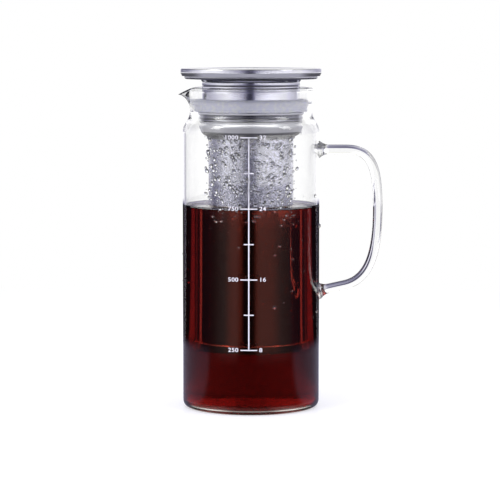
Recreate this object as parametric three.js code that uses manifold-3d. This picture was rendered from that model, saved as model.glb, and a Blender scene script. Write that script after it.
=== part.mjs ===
// Cold brew coffee maker: a glass carafe with a fused glass handle, a steel infuser that hangs in
// the carafe's neck by a silicone stopper ring, and a steel lid that plugs into the infuser's collar.
// Millimetres, +Z up. The origin is the middle of the carafe's flat base, the handle is at +X and
// the pouring beak at -X.

import * as THREE from 'three';
import { mergeVertices } from 'three/addons/utils/BufferGeometryUtils.js';
import Module from 'manifold-3d';

const wasm = await Module();
wasm.setup();

// Clearances and facets

const seatGap = 0.3;
const runningGap = 0.25;
const overrun = 3;
const ringFacets = 48;
const smallRingFacets = 40;
const glassFacets = 56;
const floorHoleSides = 6;
const floorHolesPerRing = 6;
const arcSteps = 2;

// Driving sizes, worked out from the mesh cylinder outwards

const basket = {
  meshRadius: 27,
  meshWall: 0.8,
  bottomHeight: 36.5,
  rimWall: 1,
  rimBowlHeight: 4.2,
  rimSideHeight: 5.2,
  throatHeight: 1.4,
  throatWall: 0.8,
  meshTuck: 2.2,
  hemFold: 0.5,
  hemHeight: 3,
  spigotHeight: 7.8,
  spigotWall: 1,
  bandHeight: 5.5,
  bandWall: 0.7,
  bandLip: 2.2,
  floorWall: 0.8,
  floorHoleRadius: 1.8,
  floorHolePitch: 6.5,
  seamWidth: 4,
  seamThickness: 0.4,
};

const collar = {
  step: 4.1,
  wall: 1,
  riseAboveStopper: 8.4,
  lipRadius: 0.5,
};

const stopper = {
  depthBelowRim: 7.3,
  height: 7.7,
  flangeWidth: 5.1,
  flangeDrop: 1.4,
  flangeEdge: 1.7,
  flangeUndercut: 1.5,
  bandWidth: 3.2,
};

const clamp = {
  width: 1.6,
  height: 5.7,
  beadRadius: 0.8,
  grooveDepth: 0.6,
  edge: 0.3,
};

const carafe = {
  rimHeight: 203.5,
  neckClearance: 0.35,
  neckWall: 2,
  neckHeight: 16.5,
  shoulderHeight: 10,
  shoulderStep: 4.65,
  wall: 1.8,
  floor: 2.2,
  heelRadius: 4,
  innerHeelRadius: 2.2,
  lipOverhang: 0.5,
  lipHeight: 2.6,
};

const beak = {
  reach: 7.5,
  drop: 4.4,
  width: 7,
  depth: 15,
  sideFade: 1.7,
  facetCrowding: 0.45,
};

const handle = {
  rodRadius: 3,
  reach: 37.3,
  topHeight: 164.3,
  bottomHeight: 74,
  padRadius: 5.6,
  padLength: 6,
};
const handleSides = 12;
const handleSteps = 32;
const handleStepCrowding = 0.11;

// Points of the handle's centreline, as shares of its reach and of its rise.
const handleShares = {
  topStraight: [0.44, 1],
  topPull: [0.82, 1],
  cornerPull: [1, 0.93],
  grip: [1, 0.6],
  gripPull: [1, 0.33],
  lowerPull: [0.925, 0.089],
  lowerStraight: [0.45, 0.041],
};
const handleRootShare = 0.09;

const lid = {
  overhang: 5.85,
  thickness: 4.5,
  edgeRadius: 2.2,
  sheet: 1,
  footInset: 2.5,
  footHeight: 1.9,
  footEdge: 1.2,
  neckHeight: 3.8,
  neckLip: 0.4,
};

const plug = {
  clearance: 0.9,
  wall: 2.4,
  floor: 2,
  gapOverSpigot: 2,
  grooveDepth: 1,
  grooveHeight: 2.4,
  lowerGrooveHeight: 2.2,
  grooveSpacing: 5.4,
};

// Levels and radii that follow from the driving sizes

const stopperTop = carafe.rimHeight - stopper.depthBelowRim;
const stopperBottom = stopperTop - stopper.height;
const clampTop = stopperBottom - seatGap;
const clampBottom = clampTop - clamp.height;
const collarTop = stopperTop + collar.riseAboveStopper;
const collarRadius = basket.meshRadius + collar.step;
const collarInner = collarRadius - collar.wall;
const sleeveRadius = collarRadius + seatGap;
const flangeRadius = sleeveRadius + stopper.flangeWidth;
const clampRadius = sleeveRadius + clamp.width;

const rimTop = clampBottom - seatGap;
const rimSideBottom = rimTop - basket.rimSideHeight;
const throatTop = rimSideBottom - basket.rimBowlHeight;
const throatBottom = throatTop - basket.throatHeight;
const throatInner = basket.meshRadius + seatGap;
const throatOuter = throatInner + basket.throatWall;
const spigotRadius = collarInner - seatGap;
const spigotTop = rimTop + basket.spigotHeight;
const meshInner = basket.meshRadius - basket.meshWall;
const bandBottom = basket.bottomHeight;
const bandLipTop = bandBottom + basket.bandWall;
const bandTop = bandBottom + basket.bandHeight;
const bandInner = basket.meshRadius + seatGap;
const meshBottom = bandLipTop + seatGap;
const meshTop = throatBottom + basket.meshTuck;

const neckInner = flangeRadius + carafe.neckClearance;
const neckOuter = neckInner + carafe.neckWall;
const neckBottom = carafe.rimHeight - carafe.neckHeight;
const shoulderBottom = neckBottom - carafe.shoulderHeight;
const bodyRadius = neckOuter + carafe.shoulderStep;
const bodyInner = bodyRadius - carafe.wall;

const lidRadius = neckOuter + lid.overhang;
const lidNeckBottom = collarTop + seatGap;
const lidNeckTop = lidNeckBottom + lid.neckHeight;
const footBottom = lidNeckTop + seatGap;
const footTop = footBottom + lid.footHeight;
const lidTop = footTop + lid.thickness;
const footRadius = lidRadius - lid.footInset;
const plugRadius = collarInner - plug.clearance;
const plugBottom = spigotTop + plug.gapOverSpigot;
const lowerGroove = plugBottom + plug.lowerGrooveHeight;
const upperGroove = lowerGroove + plug.grooveSpacing;

// Materials

const glass = new THREE.MeshStandardMaterial({
  color: 0xeef4f4,
  roughness: 0.05,
  metalness: 0,
  transparent: true,
  opacity: 0.35,
});
const satinSteel = new THREE.MeshStandardMaterial({ color: 0xb4b4ba, roughness: 0.3, metalness: 1 });
const polishedSteel = new THREE.MeshStandardMaterial({ color: 0xc4c4ca, roughness: 0.15, metalness: 1 });
const meshSteel = new THREE.MeshStandardMaterial({ color: 0x9a9aa4, roughness: 0.45, metalness: 1 });
const silicone = new THREE.MeshStandardMaterial({ color: 0xb9bac6, roughness: 0.55, metalness: 0 });
const plasticCore = new THREE.MeshStandardMaterial({ color: 0xd8d8da, roughness: 0.5, metalness: 0 });

// Shape helpers

// A body of revolution about Z. The path runs in (radius, height), out along the underside, up the
// outside and back in over the top; it starts and ends on the axis or closes on itself.
function revolve(path, facets) {
  const points = path.getPoints(arcSteps);
  const turned = new THREE.LatheGeometry(points, facets);
  turned.rotateX(Math.PI / 2);
  return turned;
}

function toSolid(geometry) {
  const bare = geometry.clone();
  bare.deleteAttribute('normal');
  bare.deleteAttribute('uv');
  const merged = mergeVertices(bare);
  return new wasm.Manifold(
    new wasm.Mesh({
      numProp: 3,
      vertProperties: merged.attributes.position.array,
      triVerts: merged.index.array,
    }),
  );
}

function toGeometry(solid) {
  const mesh = solid.getMesh();
  const geometry = new THREE.BufferGeometry();
  geometry.setAttribute('position', new THREE.BufferAttribute(mesh.vertProperties, 3));
  geometry.setIndex(new THREE.BufferAttribute(mesh.triVerts, 1));
  geometry.computeVertexNormals();
  return geometry;
}

function piece(name, geometry, material) {
  const mesh = new THREE.Mesh(geometry, material);
  mesh.name = name;
  return mesh;
}

// Carafe

// The blown wall in section: flat foot, round heel, straight side, S-shaped shoulder, neck and
// fire-polished lip, then the same line down the inside.
function carafeSection() {
  const lipBottom = carafe.rimHeight - carafe.lipHeight;
  const lipOuter = neckOuter + carafe.lipOverhang;
  const lipMiddle = (lipOuter + neckInner) / 2;
  const shoulderMiddle = (shoulderBottom + neckBottom) / 2;
  const path = new THREE.Path();
  path.moveTo(0, 0);
  path.lineTo(bodyRadius - carafe.heelRadius, 0);
  path.absarc(bodyRadius - carafe.heelRadius, carafe.heelRadius, carafe.heelRadius, -Math.PI / 2, 0);
  path.lineTo(bodyRadius, shoulderBottom);
  addShoulder(path, bodyRadius, shoulderBottom, neckOuter, neckBottom, shoulderMiddle);
  path.lineTo(neckOuter, lipBottom - carafe.lipHeight);
  path.quadraticCurveTo(neckOuter, lipBottom, lipOuter, lipBottom);
  path.quadraticCurveTo(lipOuter, carafe.rimHeight, lipMiddle, carafe.rimHeight);
  path.quadraticCurveTo(neckInner, carafe.rimHeight, neckInner, lipBottom);
  path.lineTo(neckInner, neckBottom);
  addShoulder(path, neckInner, neckBottom, bodyInner, shoulderBottom, shoulderMiddle);
  const innerHeelTop = carafe.floor + carafe.innerHeelRadius;
  path.lineTo(bodyInner, innerHeelTop);
  path.absarc(bodyInner - carafe.innerHeelRadius, innerHeelTop, carafe.innerHeelRadius, 0, -Math.PI / 2, true);
  path.lineTo(0, carafe.floor);
  return path;
}

// Two quarter bends that turn a straight wall over to another radius.
function addShoulder(path, fromRadius, fromHeight, toRadius, toHeight, middleHeight) {
  const middleRadius = (fromRadius + toRadius) / 2;
  path.quadraticCurveTo(fromRadius, (fromHeight + middleHeight) / 2, middleRadius, middleHeight);
  path.quadraticCurveTo(toRadius, (toHeight + middleHeight) / 2, toRadius, toHeight);
}

// Pulls the lip out and down over the beak, most at the rim and nothing at the beak's root.
function drawBeak(geometry) {
  const position = geometry.attributes.position;
  const rootHeight = carafe.rimHeight - beak.depth;
  for (let i = 0; i < position.count; i += 1) {
    const radius = Math.hypot(position.getX(i), position.getY(i));
    const rise = Math.max(0, (position.getZ(i) - rootHeight) / beak.depth);
    const angle = Math.atan2(position.getY(i), -position.getX(i));
    const pull = Math.exp(-(Math.abs((angle * neckOuter) / beak.width) ** beak.sideFade));
    const stretched = radius + beak.reach * pull * rise ** 2;
    const scale = radius > 0 ? stretched / radius : 1;
    position.setXYZ(
      i,
      position.getX(i) * scale,
      position.getY(i) * scale,
      position.getZ(i) - beak.drop * pull * rise ** 3,
    );
  }
}

// Draws the facets closer together round the beak at -X, where the lip bends most.
function crowdFacets(geometry) {
  const position = geometry.attributes.position;
  for (let i = 0; i < position.count; i += 1) {
    const radius = Math.hypot(position.getX(i), position.getY(i));
    const angle = Math.atan2(position.getY(i), -position.getX(i));
    const crowded = angle - beak.facetCrowding * Math.sin(angle);
    position.setX(i, -radius * Math.cos(crowded));
    position.setY(i, radius * Math.sin(crowded));
  }
}

function glassCarafe() {
  const body = revolve(carafeSection(), glassFacets);
  crowdFacets(body);
  drawBeak(body);
  body.computeVertexNormals();
  return piece('glass_carafe', body, glass);
}

// Centreline of the handle in the XZ plane: out of the upper pad, round the top corner, down and
// back in a long bend to the lower pad.
function handleLine() {
  const rise = handle.topHeight - handle.bottomHeight;
  const at = ([reachShare, riseShare]) =>
    new THREE.Vector3(bodyRadius + handle.reach * reachShare, 0, handle.bottomHeight + rise * riseShare);
  const inside = -overrun / handle.reach;
  const upperEnd = at([inside, 1]);
  const lowerEnd = at([inside, inside * handleRootShare]);
  const topStraight = at(handleShares.topStraight);
  const grip = at(handleShares.grip);
  const lowerStraight = at(handleShares.lowerStraight);
  const line = new THREE.CurvePath();
  line.add(new THREE.LineCurve3(upperEnd, topStraight));
  line.add(new THREE.CubicBezierCurve3(topStraight, at(handleShares.topPull), at(handleShares.cornerPull), grip));
  line.add(new THREE.CubicBezierCurve3(grip, at(handleShares.gripPull), at(handleShares.lowerPull), lowerStraight));
  line.add(new THREE.LineCurve3(lowerStraight, lowerEnd));
  return line;
}

// A round rod along a line in the XZ plane, swelling into a pad where it meets the glass body.
function handleRod() {
  const line = handleLine();
  const sideways = new THREE.Vector3(0, 1, 0);
  const positions = [];
  const indices = [];
  const addRing = (share) => {
    const centre = line.getPointAt(share);
    const normal = sideways.clone().cross(line.getTangentAt(share));
    const fromGlass = Math.max(0, centre.x - bodyRadius);
    const swell = Math.max(0, 1 - fromGlass / handle.padLength) ** 2;
    const radius = handle.rodRadius + (handle.padRadius - handle.rodRadius) * swell;
    for (let side = 0; side < handleSides; side += 1) {
      const turn = (side / handleSides) * Math.PI * 2;
      const point = centre.clone();
      point.addScaledVector(normal, radius * Math.cos(turn));
      point.addScaledVector(sideways, radius * Math.sin(turn));
      positions.push(point.x, point.y, point.z);
    }
  };
  for (let step = 0; step <= handleSteps; step += 1) {
    const even = step / handleSteps;
    addRing(even - handleStepCrowding * Math.sin(even * Math.PI * 2));
  }
  for (let step = 0; step < handleSteps; step += 1) {
    for (let side = 0; side < handleSides; side += 1) {
      const next = (side + 1) % handleSides;
      const a = step * handleSides + side;
      const b = step * handleSides + next;
      indices.push(a, b, b + handleSides);
      indices.push(a, b + handleSides, a + handleSides);
    }
  }
  const last = handleSteps * handleSides;
  for (let side = 1; side < handleSides - 1; side += 1) {
    indices.push(0, side + 1, side);
    indices.push(last, last + side, last + side + 1);
  }
  const rod = new THREE.BufferGeometry();
  rod.setAttribute('position', new THREE.Float32BufferAttribute(positions, 3));
  rod.setIndex(indices);
  return rod;
}

function glassHandle() {
  const bodyHeight = handle.topHeight + handle.bottomHeight;
  const bodyShape = new THREE.CylinderGeometry(bodyRadius + seatGap, bodyRadius + seatGap, bodyHeight, glassFacets);
  bodyShape.rotateX(Math.PI / 2);
  bodyShape.translate(0, 0, bodyHeight / 2);
  const rod = toSolid(handleRod()).subtract(toSolid(bodyShape));
  return piece('glass_handle', toGeometry(rod), glass);
}

// Infuser collar

function collarTube() {
  const lip = collar.lipRadius;
  const path = new THREE.Path();
  path.moveTo(collarInner, clampBottom);
  path.lineTo(collarRadius, clampBottom);
  path.lineTo(collarRadius, collarTop - lip * 3);
  path.quadraticCurveTo(collarRadius, collarTop - lip * 2, collarRadius + lip, collarTop - lip);
  path.lineTo(collarRadius, collarTop);
  path.lineTo(collarInner + lip, collarTop);
  path.lineTo(collarInner, collarTop - lip);
  path.closePath();
  return piece('collar_tube', revolve(path, ringFacets), polishedSteel);
}

function stopperRing() {
  const bandRadius = sleeveRadius + stopper.bandWidth;
  const flangeTop = stopperTop - stopper.flangeDrop;
  const flangeBottom = flangeTop - stopper.flangeEdge;
  const path = new THREE.Path();
  path.moveTo(sleeveRadius, stopperBottom);
  path.lineTo(bandRadius, stopperBottom);
  path.lineTo(bandRadius, flangeBottom - stopper.flangeUndercut);
  path.lineTo(flangeRadius, flangeBottom);
  path.lineTo(flangeRadius, flangeTop);
  path.quadraticCurveTo(bandRadius, stopperTop, sleeveRadius, stopperTop);
  path.closePath();
  return piece('stopper_ring', revolve(path, ringFacets), silicone);
}

// Steel ring that holds the silicone from below: a rolled bead at the top, then a groove, a
// second roll and a plain lower edge.
function clampRing() {
  const waist = clampRadius - clamp.grooveDepth;
  const beadBottom = clampTop - clamp.beadRadius * 2;
  const rollTop = beadBottom - clamp.beadRadius / 2;
  const rollBottom = rollTop - clamp.beadRadius * 2;
  const path = new THREE.Path();
  path.moveTo(sleeveRadius, clampBottom);
  path.lineTo(clampRadius - clamp.edge, clampBottom);
  path.lineTo(clampRadius, clampBottom + clamp.edge);
  path.lineTo(waist, rollBottom);
  path.quadraticCurveTo(clampRadius + clamp.edge, (rollBottom + rollTop) / 2, waist, rollTop);
  path.lineTo(waist, beadBottom);
  path.quadraticCurveTo(clampRadius + clamp.beadRadius, clampTop - clamp.beadRadius, waist, clampTop);
  path.lineTo(sleeveRadius, clampTop);
  path.closePath();
  return piece('clamp_ring', revolve(path, ringFacets), polishedSteel);
}

// Basket

// Pressed steel cup: a throat that takes the mesh, a bowl and a straight side up to a flat
// shoulder, and a spigot that turns inside the collar.
function basketRim() {
  const wall = basket.rimWall;
  const innerSide = clampRadius - wall;
  const spigotInner = spigotRadius - basket.spigotWall;
  const path = new THREE.Path();
  path.moveTo(throatInner, throatBottom);
  path.lineTo(throatOuter, throatBottom);
  path.lineTo(throatOuter, throatTop);
  path.quadraticCurveTo(clampRadius, throatTop, clampRadius, rimSideBottom);
  path.lineTo(clampRadius, rimTop - clamp.edge);
  path.lineTo(clampRadius - clamp.edge, rimTop);
  path.lineTo(spigotRadius, rimTop);
  path.lineTo(spigotRadius, spigotTop);
  path.lineTo(spigotInner, spigotTop);
  path.lineTo(spigotInner, rimTop - wall);
  path.lineTo(innerSide, rimTop - wall);
  path.lineTo(innerSide, rimSideBottom + wall);
  path.quadraticCurveTo(innerSide, throatTop + wall, throatInner, throatTop + wall);
  path.closePath();
  return piece('basket_rim', revolve(path, ringFacets), polishedSteel);
}

// The woven steel as a thin sleeve, with both ends folded in once to a hem.
function meshTube() {
  const hemInner = meshInner - basket.hemFold;
  const topHem = meshTop - basket.hemHeight;
  const bottomHem = meshBottom + basket.hemHeight;
  const path = new THREE.Path();
  path.moveTo(hemInner, meshBottom);
  path.lineTo(basket.meshRadius, meshBottom);
  path.lineTo(basket.meshRadius, meshTop);
  path.lineTo(hemInner, meshTop);
  path.lineTo(hemInner, topHem);
  path.lineTo(meshInner, topHem - basket.hemFold);
  path.lineTo(meshInner, bottomHem + basket.hemFold);
  path.lineTo(hemInner, bottomHem);
  path.closePath();
  return piece('mesh_tube', revolve(path, ringFacets), meshSteel);
}

// The lap weld down the back of the mesh.
function meshSeam() {
  const inner = basket.meshRadius + seatGap;
  const outer = inner + basket.seamThickness;
  const halfAngle = basket.seamWidth / basket.meshRadius / 2;
  const bottom = bandTop + seatGap;
  const strip = new THREE.Shape();
  strip.absarc(0, 0, outer, Math.PI / 2 - halfAngle, Math.PI / 2 + halfAngle, false);
  strip.absarc(0, 0, inner, Math.PI / 2 + halfAngle, Math.PI / 2 - halfAngle, true);
  strip.closePath();
  const seam = new THREE.ExtrudeGeometry(strip, {
    depth: throatBottom - seatGap - bottom,
    bevelEnabled: false,
    curveSegments: arcSteps,
  });
  seam.translate(0, 0, bottom);
  return piece('mesh_seam', seam, satinSteel);
}

// Hoop round the mesh's lower end, with a lip turned in under its floor.
function baseBand() {
  const outer = bandInner + basket.bandWall;
  const lipInner = meshInner - basket.bandLip;
  const path = new THREE.Path();
  path.moveTo(lipInner, bandBottom);
  path.lineTo(outer - basket.bandWall, bandBottom);
  path.quadraticCurveTo(outer, bandBottom, outer, bandLipTop);
  path.lineTo(outer, bandTop);
  path.lineTo(bandInner, bandTop);
  path.lineTo(bandInner, bandLipTop);
  path.lineTo(lipInner, bandLipTop);
  path.closePath();
  return piece('base_band', revolve(path, smallRingFacets), satinSteel);
}

// Corner points of a regular outline round a centre.
function roundOutline(x, y, radius, sides) {
  return Array.from({ length: sides }, (_, i) => {
    const angle = (i / sides) * Math.PI * 2;
    return new THREE.Vector2(x + radius * Math.cos(angle), y + radius * Math.sin(angle));
  });
}

// Round floor of the basket, pierced in rings.
function baseMesh() {
  const radius = meshInner - basket.hemFold - seatGap;
  const disc = new THREE.Shape(roundOutline(0, 0, radius, smallRingFacets));
  const lastRing = radius - basket.bandLip - basket.floorHoleRadius * 2;
  for (let ring = 0; ring * basket.floorHolePitch <= lastRing; ring += 1) {
    const count = ring === 0 ? 1 : ring * floorHolesPerRing;
    for (let hole = 0; hole < count; hole += 1) {
      const angle = (hole / count) * Math.PI * 2;
      const x = ring * basket.floorHolePitch * Math.cos(angle);
      const y = ring * basket.floorHolePitch * Math.sin(angle);
      disc.holes.push(new THREE.Path(roundOutline(x, y, basket.floorHoleRadius, floorHoleSides)));
    }
  }
  const floor = new THREE.ExtrudeGeometry(disc, { depth: basket.floorWall, bevelEnabled: false });
  floor.translate(0, 0, bandLipTop + seatGap);
  return piece('base_mesh', floor, meshSteel);
}

// Lid

// Pressed top plate with its rim rolled over and turned down.
function lidTopPlate() {
  const edge = lid.edgeRadius;
  const inner = lidRadius - lid.sheet;
  const underside = lidTop - lid.sheet;
  const rimBottom = footTop;
  const path = new THREE.Path();
  path.moveTo(0, underside);
  path.lineTo(lidRadius - edge, underside);
  path.quadraticCurveTo(inner, underside, inner, lidTop - edge);
  path.lineTo(inner, rimBottom);
  path.lineTo(lidRadius - lid.sheet / 2, rimBottom);
  path.quadraticCurveTo(lidRadius, rimBottom, lidRadius, rimBottom + lid.sheet);
  path.lineTo(lidRadius, lidTop - edge);
  path.absarc(lidRadius - edge, lidTop - edge, edge, 0, Math.PI / 2);
  path.lineTo(0, lidTop);
  return piece('lid_top_plate', revolve(path, ringFacets), satinSteel);
}

// Dished plate that closes the lid from below, with a flange tucked inside the rolled rim.
function lidUnderPlate() {
  const edge = lid.footEdge;
  const tuckRadius = lidRadius - lid.sheet - seatGap;
  const flangeBottom = footTop + seatGap;
  const flangeTop = flangeBottom + lid.sheet;
  const floorTop = footBottom + lid.sheet;
  const innerRadius = footRadius - lid.sheet;
  const path = new THREE.Path();
  path.moveTo(0, footBottom);
  path.lineTo(footRadius - edge, footBottom);
  path.absarc(footRadius - edge, footBottom + edge, edge, -Math.PI / 2, 0);
  path.lineTo(footRadius, flangeBottom);
  path.lineTo(tuckRadius, flangeBottom);
  path.lineTo(tuckRadius, flangeTop);
  path.lineTo(innerRadius, flangeTop);
  path.lineTo(innerRadius, floorTop + edge);
  path.lineTo(innerRadius - edge, floorTop);
  path.lineTo(0, floorTop);
  return piece('lid_under_plate', revolve(path, ringFacets), satinSteel);
}

// Short skirt between the plates and the collar, with a small lip that meets the collar's.
function lidNeck() {
  const lip = lid.neckLip;
  const path = new THREE.Path();
  path.moveTo(collarInner, lidNeckBottom);
  path.lineTo(collarRadius, lidNeckBottom);
  path.lineTo(collarRadius + lip, lidNeckBottom + lip);
  path.lineTo(collarRadius, lidNeckBottom + lip * 2);
  path.lineTo(collarRadius, lidNeckTop);
  path.lineTo(collarInner, lidNeckTop);
  path.closePath();
  return piece('lid_neck', revolve(path, ringFacets), polishedSteel);
}

// Cup that enters the collar, with two grooves for its seals.
function lidPlug() {
  const inner = plugRadius - plug.wall;
  const grooveRadius = plugRadius - plug.grooveDepth;
  const path = new THREE.Path();
  path.moveTo(0, plugBottom);
  path.lineTo(plugRadius - plug.floor, plugBottom);
  path.quadraticCurveTo(plugRadius, plugBottom, plugRadius, plugBottom + plug.floor);
  for (const groove of [lowerGroove, upperGroove]) {
    path.lineTo(plugRadius, groove);
    path.lineTo(grooveRadius, groove);
    path.lineTo(grooveRadius, groove + plug.grooveHeight);
    path.lineTo(plugRadius, groove + plug.grooveHeight);
  }
  path.lineTo(plugRadius, lidNeckTop);
  path.lineTo(inner, lidNeckTop);
  path.lineTo(inner, plugBottom + plug.floor);
  path.lineTo(0, plugBottom + plug.floor);
  return piece('lid_plug', revolve(path, smallRingFacets), plasticCore);
}

// Silicone ring in one of the plug's grooves, crowned where it wipes the collar.
function lidSeal(name, groove) {
  const inner = plugRadius - plug.grooveDepth + seatGap;
  const outer = collarInner - runningGap;
  const bottom = groove + seatGap;
  const top = groove + plug.grooveHeight - seatGap;
  const middle = (bottom + top) / 2;
  const path = new THREE.Path();
  path.moveTo(inner, bottom);
  path.lineTo(plugRadius, bottom);
  path.lineTo(outer, middle);
  path.lineTo(plugRadius, top);
  path.lineTo(inner, top);
  path.closePath();
  return piece(name, revolve(path, smallRingFacets), silicone);
}

// Assembly

const coldBrewMaker = new THREE.Group();

const carafeGroup = new THREE.Group();
carafeGroup.add(glassCarafe(), glassHandle());

const infuserGroup = new THREE.Group();
infuserGroup.add(collarTube(), stopperRing(), clampRing());

const basketGroup = new THREE.Group();
basketGroup.add(basketRim(), meshTube(), meshSeam(), baseBand(), baseMesh());

const lidGroup = new THREE.Group();
lidGroup.add(
  lidTopPlate(),
  lidUnderPlate(),
  lidNeck(),
  lidPlug(),
  lidSeal('lid_seal_lower', lowerGroove),
  lidSeal('lid_seal_upper', upperGroove),
);

coldBrewMaker.add(carafeGroup, infuserGroup, basketGroup, lidGroup);

export default coldBrewMaker;
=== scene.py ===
"""Looks of the cold brew maker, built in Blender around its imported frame.

Sizes are in millimetres in the classes and in metres in meshes and node trees. The origin is the
middle of the carafe's flat base, +Z runs up its axis, the handle is at +X and the pouring beak at
-X. Most pieces are turned from an outline of corners: radius, height, rounding and its steps.
"""

from __future__ import annotations

import logging
import math
from dataclasses import dataclass, field
from enum import Enum
from functools import reduce
from typing import Callable, NamedTuple, Sequence, Union

import bpy
import numpy as np
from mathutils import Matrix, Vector


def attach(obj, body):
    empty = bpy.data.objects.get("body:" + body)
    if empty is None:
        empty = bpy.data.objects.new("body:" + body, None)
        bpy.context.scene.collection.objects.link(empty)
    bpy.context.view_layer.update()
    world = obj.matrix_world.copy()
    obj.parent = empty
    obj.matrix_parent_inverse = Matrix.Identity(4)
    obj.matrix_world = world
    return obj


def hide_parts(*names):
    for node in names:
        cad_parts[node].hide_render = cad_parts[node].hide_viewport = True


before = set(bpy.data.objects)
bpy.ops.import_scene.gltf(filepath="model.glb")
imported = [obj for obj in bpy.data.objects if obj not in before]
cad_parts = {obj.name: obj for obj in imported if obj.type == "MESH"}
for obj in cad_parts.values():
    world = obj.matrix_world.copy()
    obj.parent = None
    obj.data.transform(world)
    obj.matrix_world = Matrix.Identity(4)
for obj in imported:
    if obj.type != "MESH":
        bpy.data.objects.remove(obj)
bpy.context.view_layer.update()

log = logging.getLogger("cold_brew_maker")

MM = 0.001
SMOOTH_ANGLE = math.radians(34)
ON_AXIS = 1e-7
WHITE = (1.0, 1.0, 1.0)
Point = tuple[float, float]
Colour = tuple[float, float, float]
Piece = bpy.types.Object
Mesh = bpy.types.Mesh
Material = bpy.types.Material
Tree = bpy.types.NodeTree
Node = bpy.types.Node
Socket = bpy.types.NodeSocket
Outputs = bpy.types.NodeOutputs
Value = Union[float, int, bool, str, tuple, Socket]


class Body(Enum):
    """Bodies of the frame that the pieces ride on."""

    CARAFE = "carafe"
    INFUSER = "infuser"
    BASKET = "basket"
    LID = "lid"


class Slot(Enum):
    """Material slots of the record."""

    GLASS = "glass"
    LID_STEEL = "lid_steel"
    COLLAR_STEEL = "collar_steel"
    MESH_STEEL = "mesh_steel"
    SILICONE = "silicone"
    PLUG_PLASTIC = "plug_plastic"


def scaled(colour: Colour, share: float) -> Colour:
    """Gives a share of a colour's light."""
    return tuple(min(1.0, channel * share) for channel in colour)


# Node trees


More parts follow.
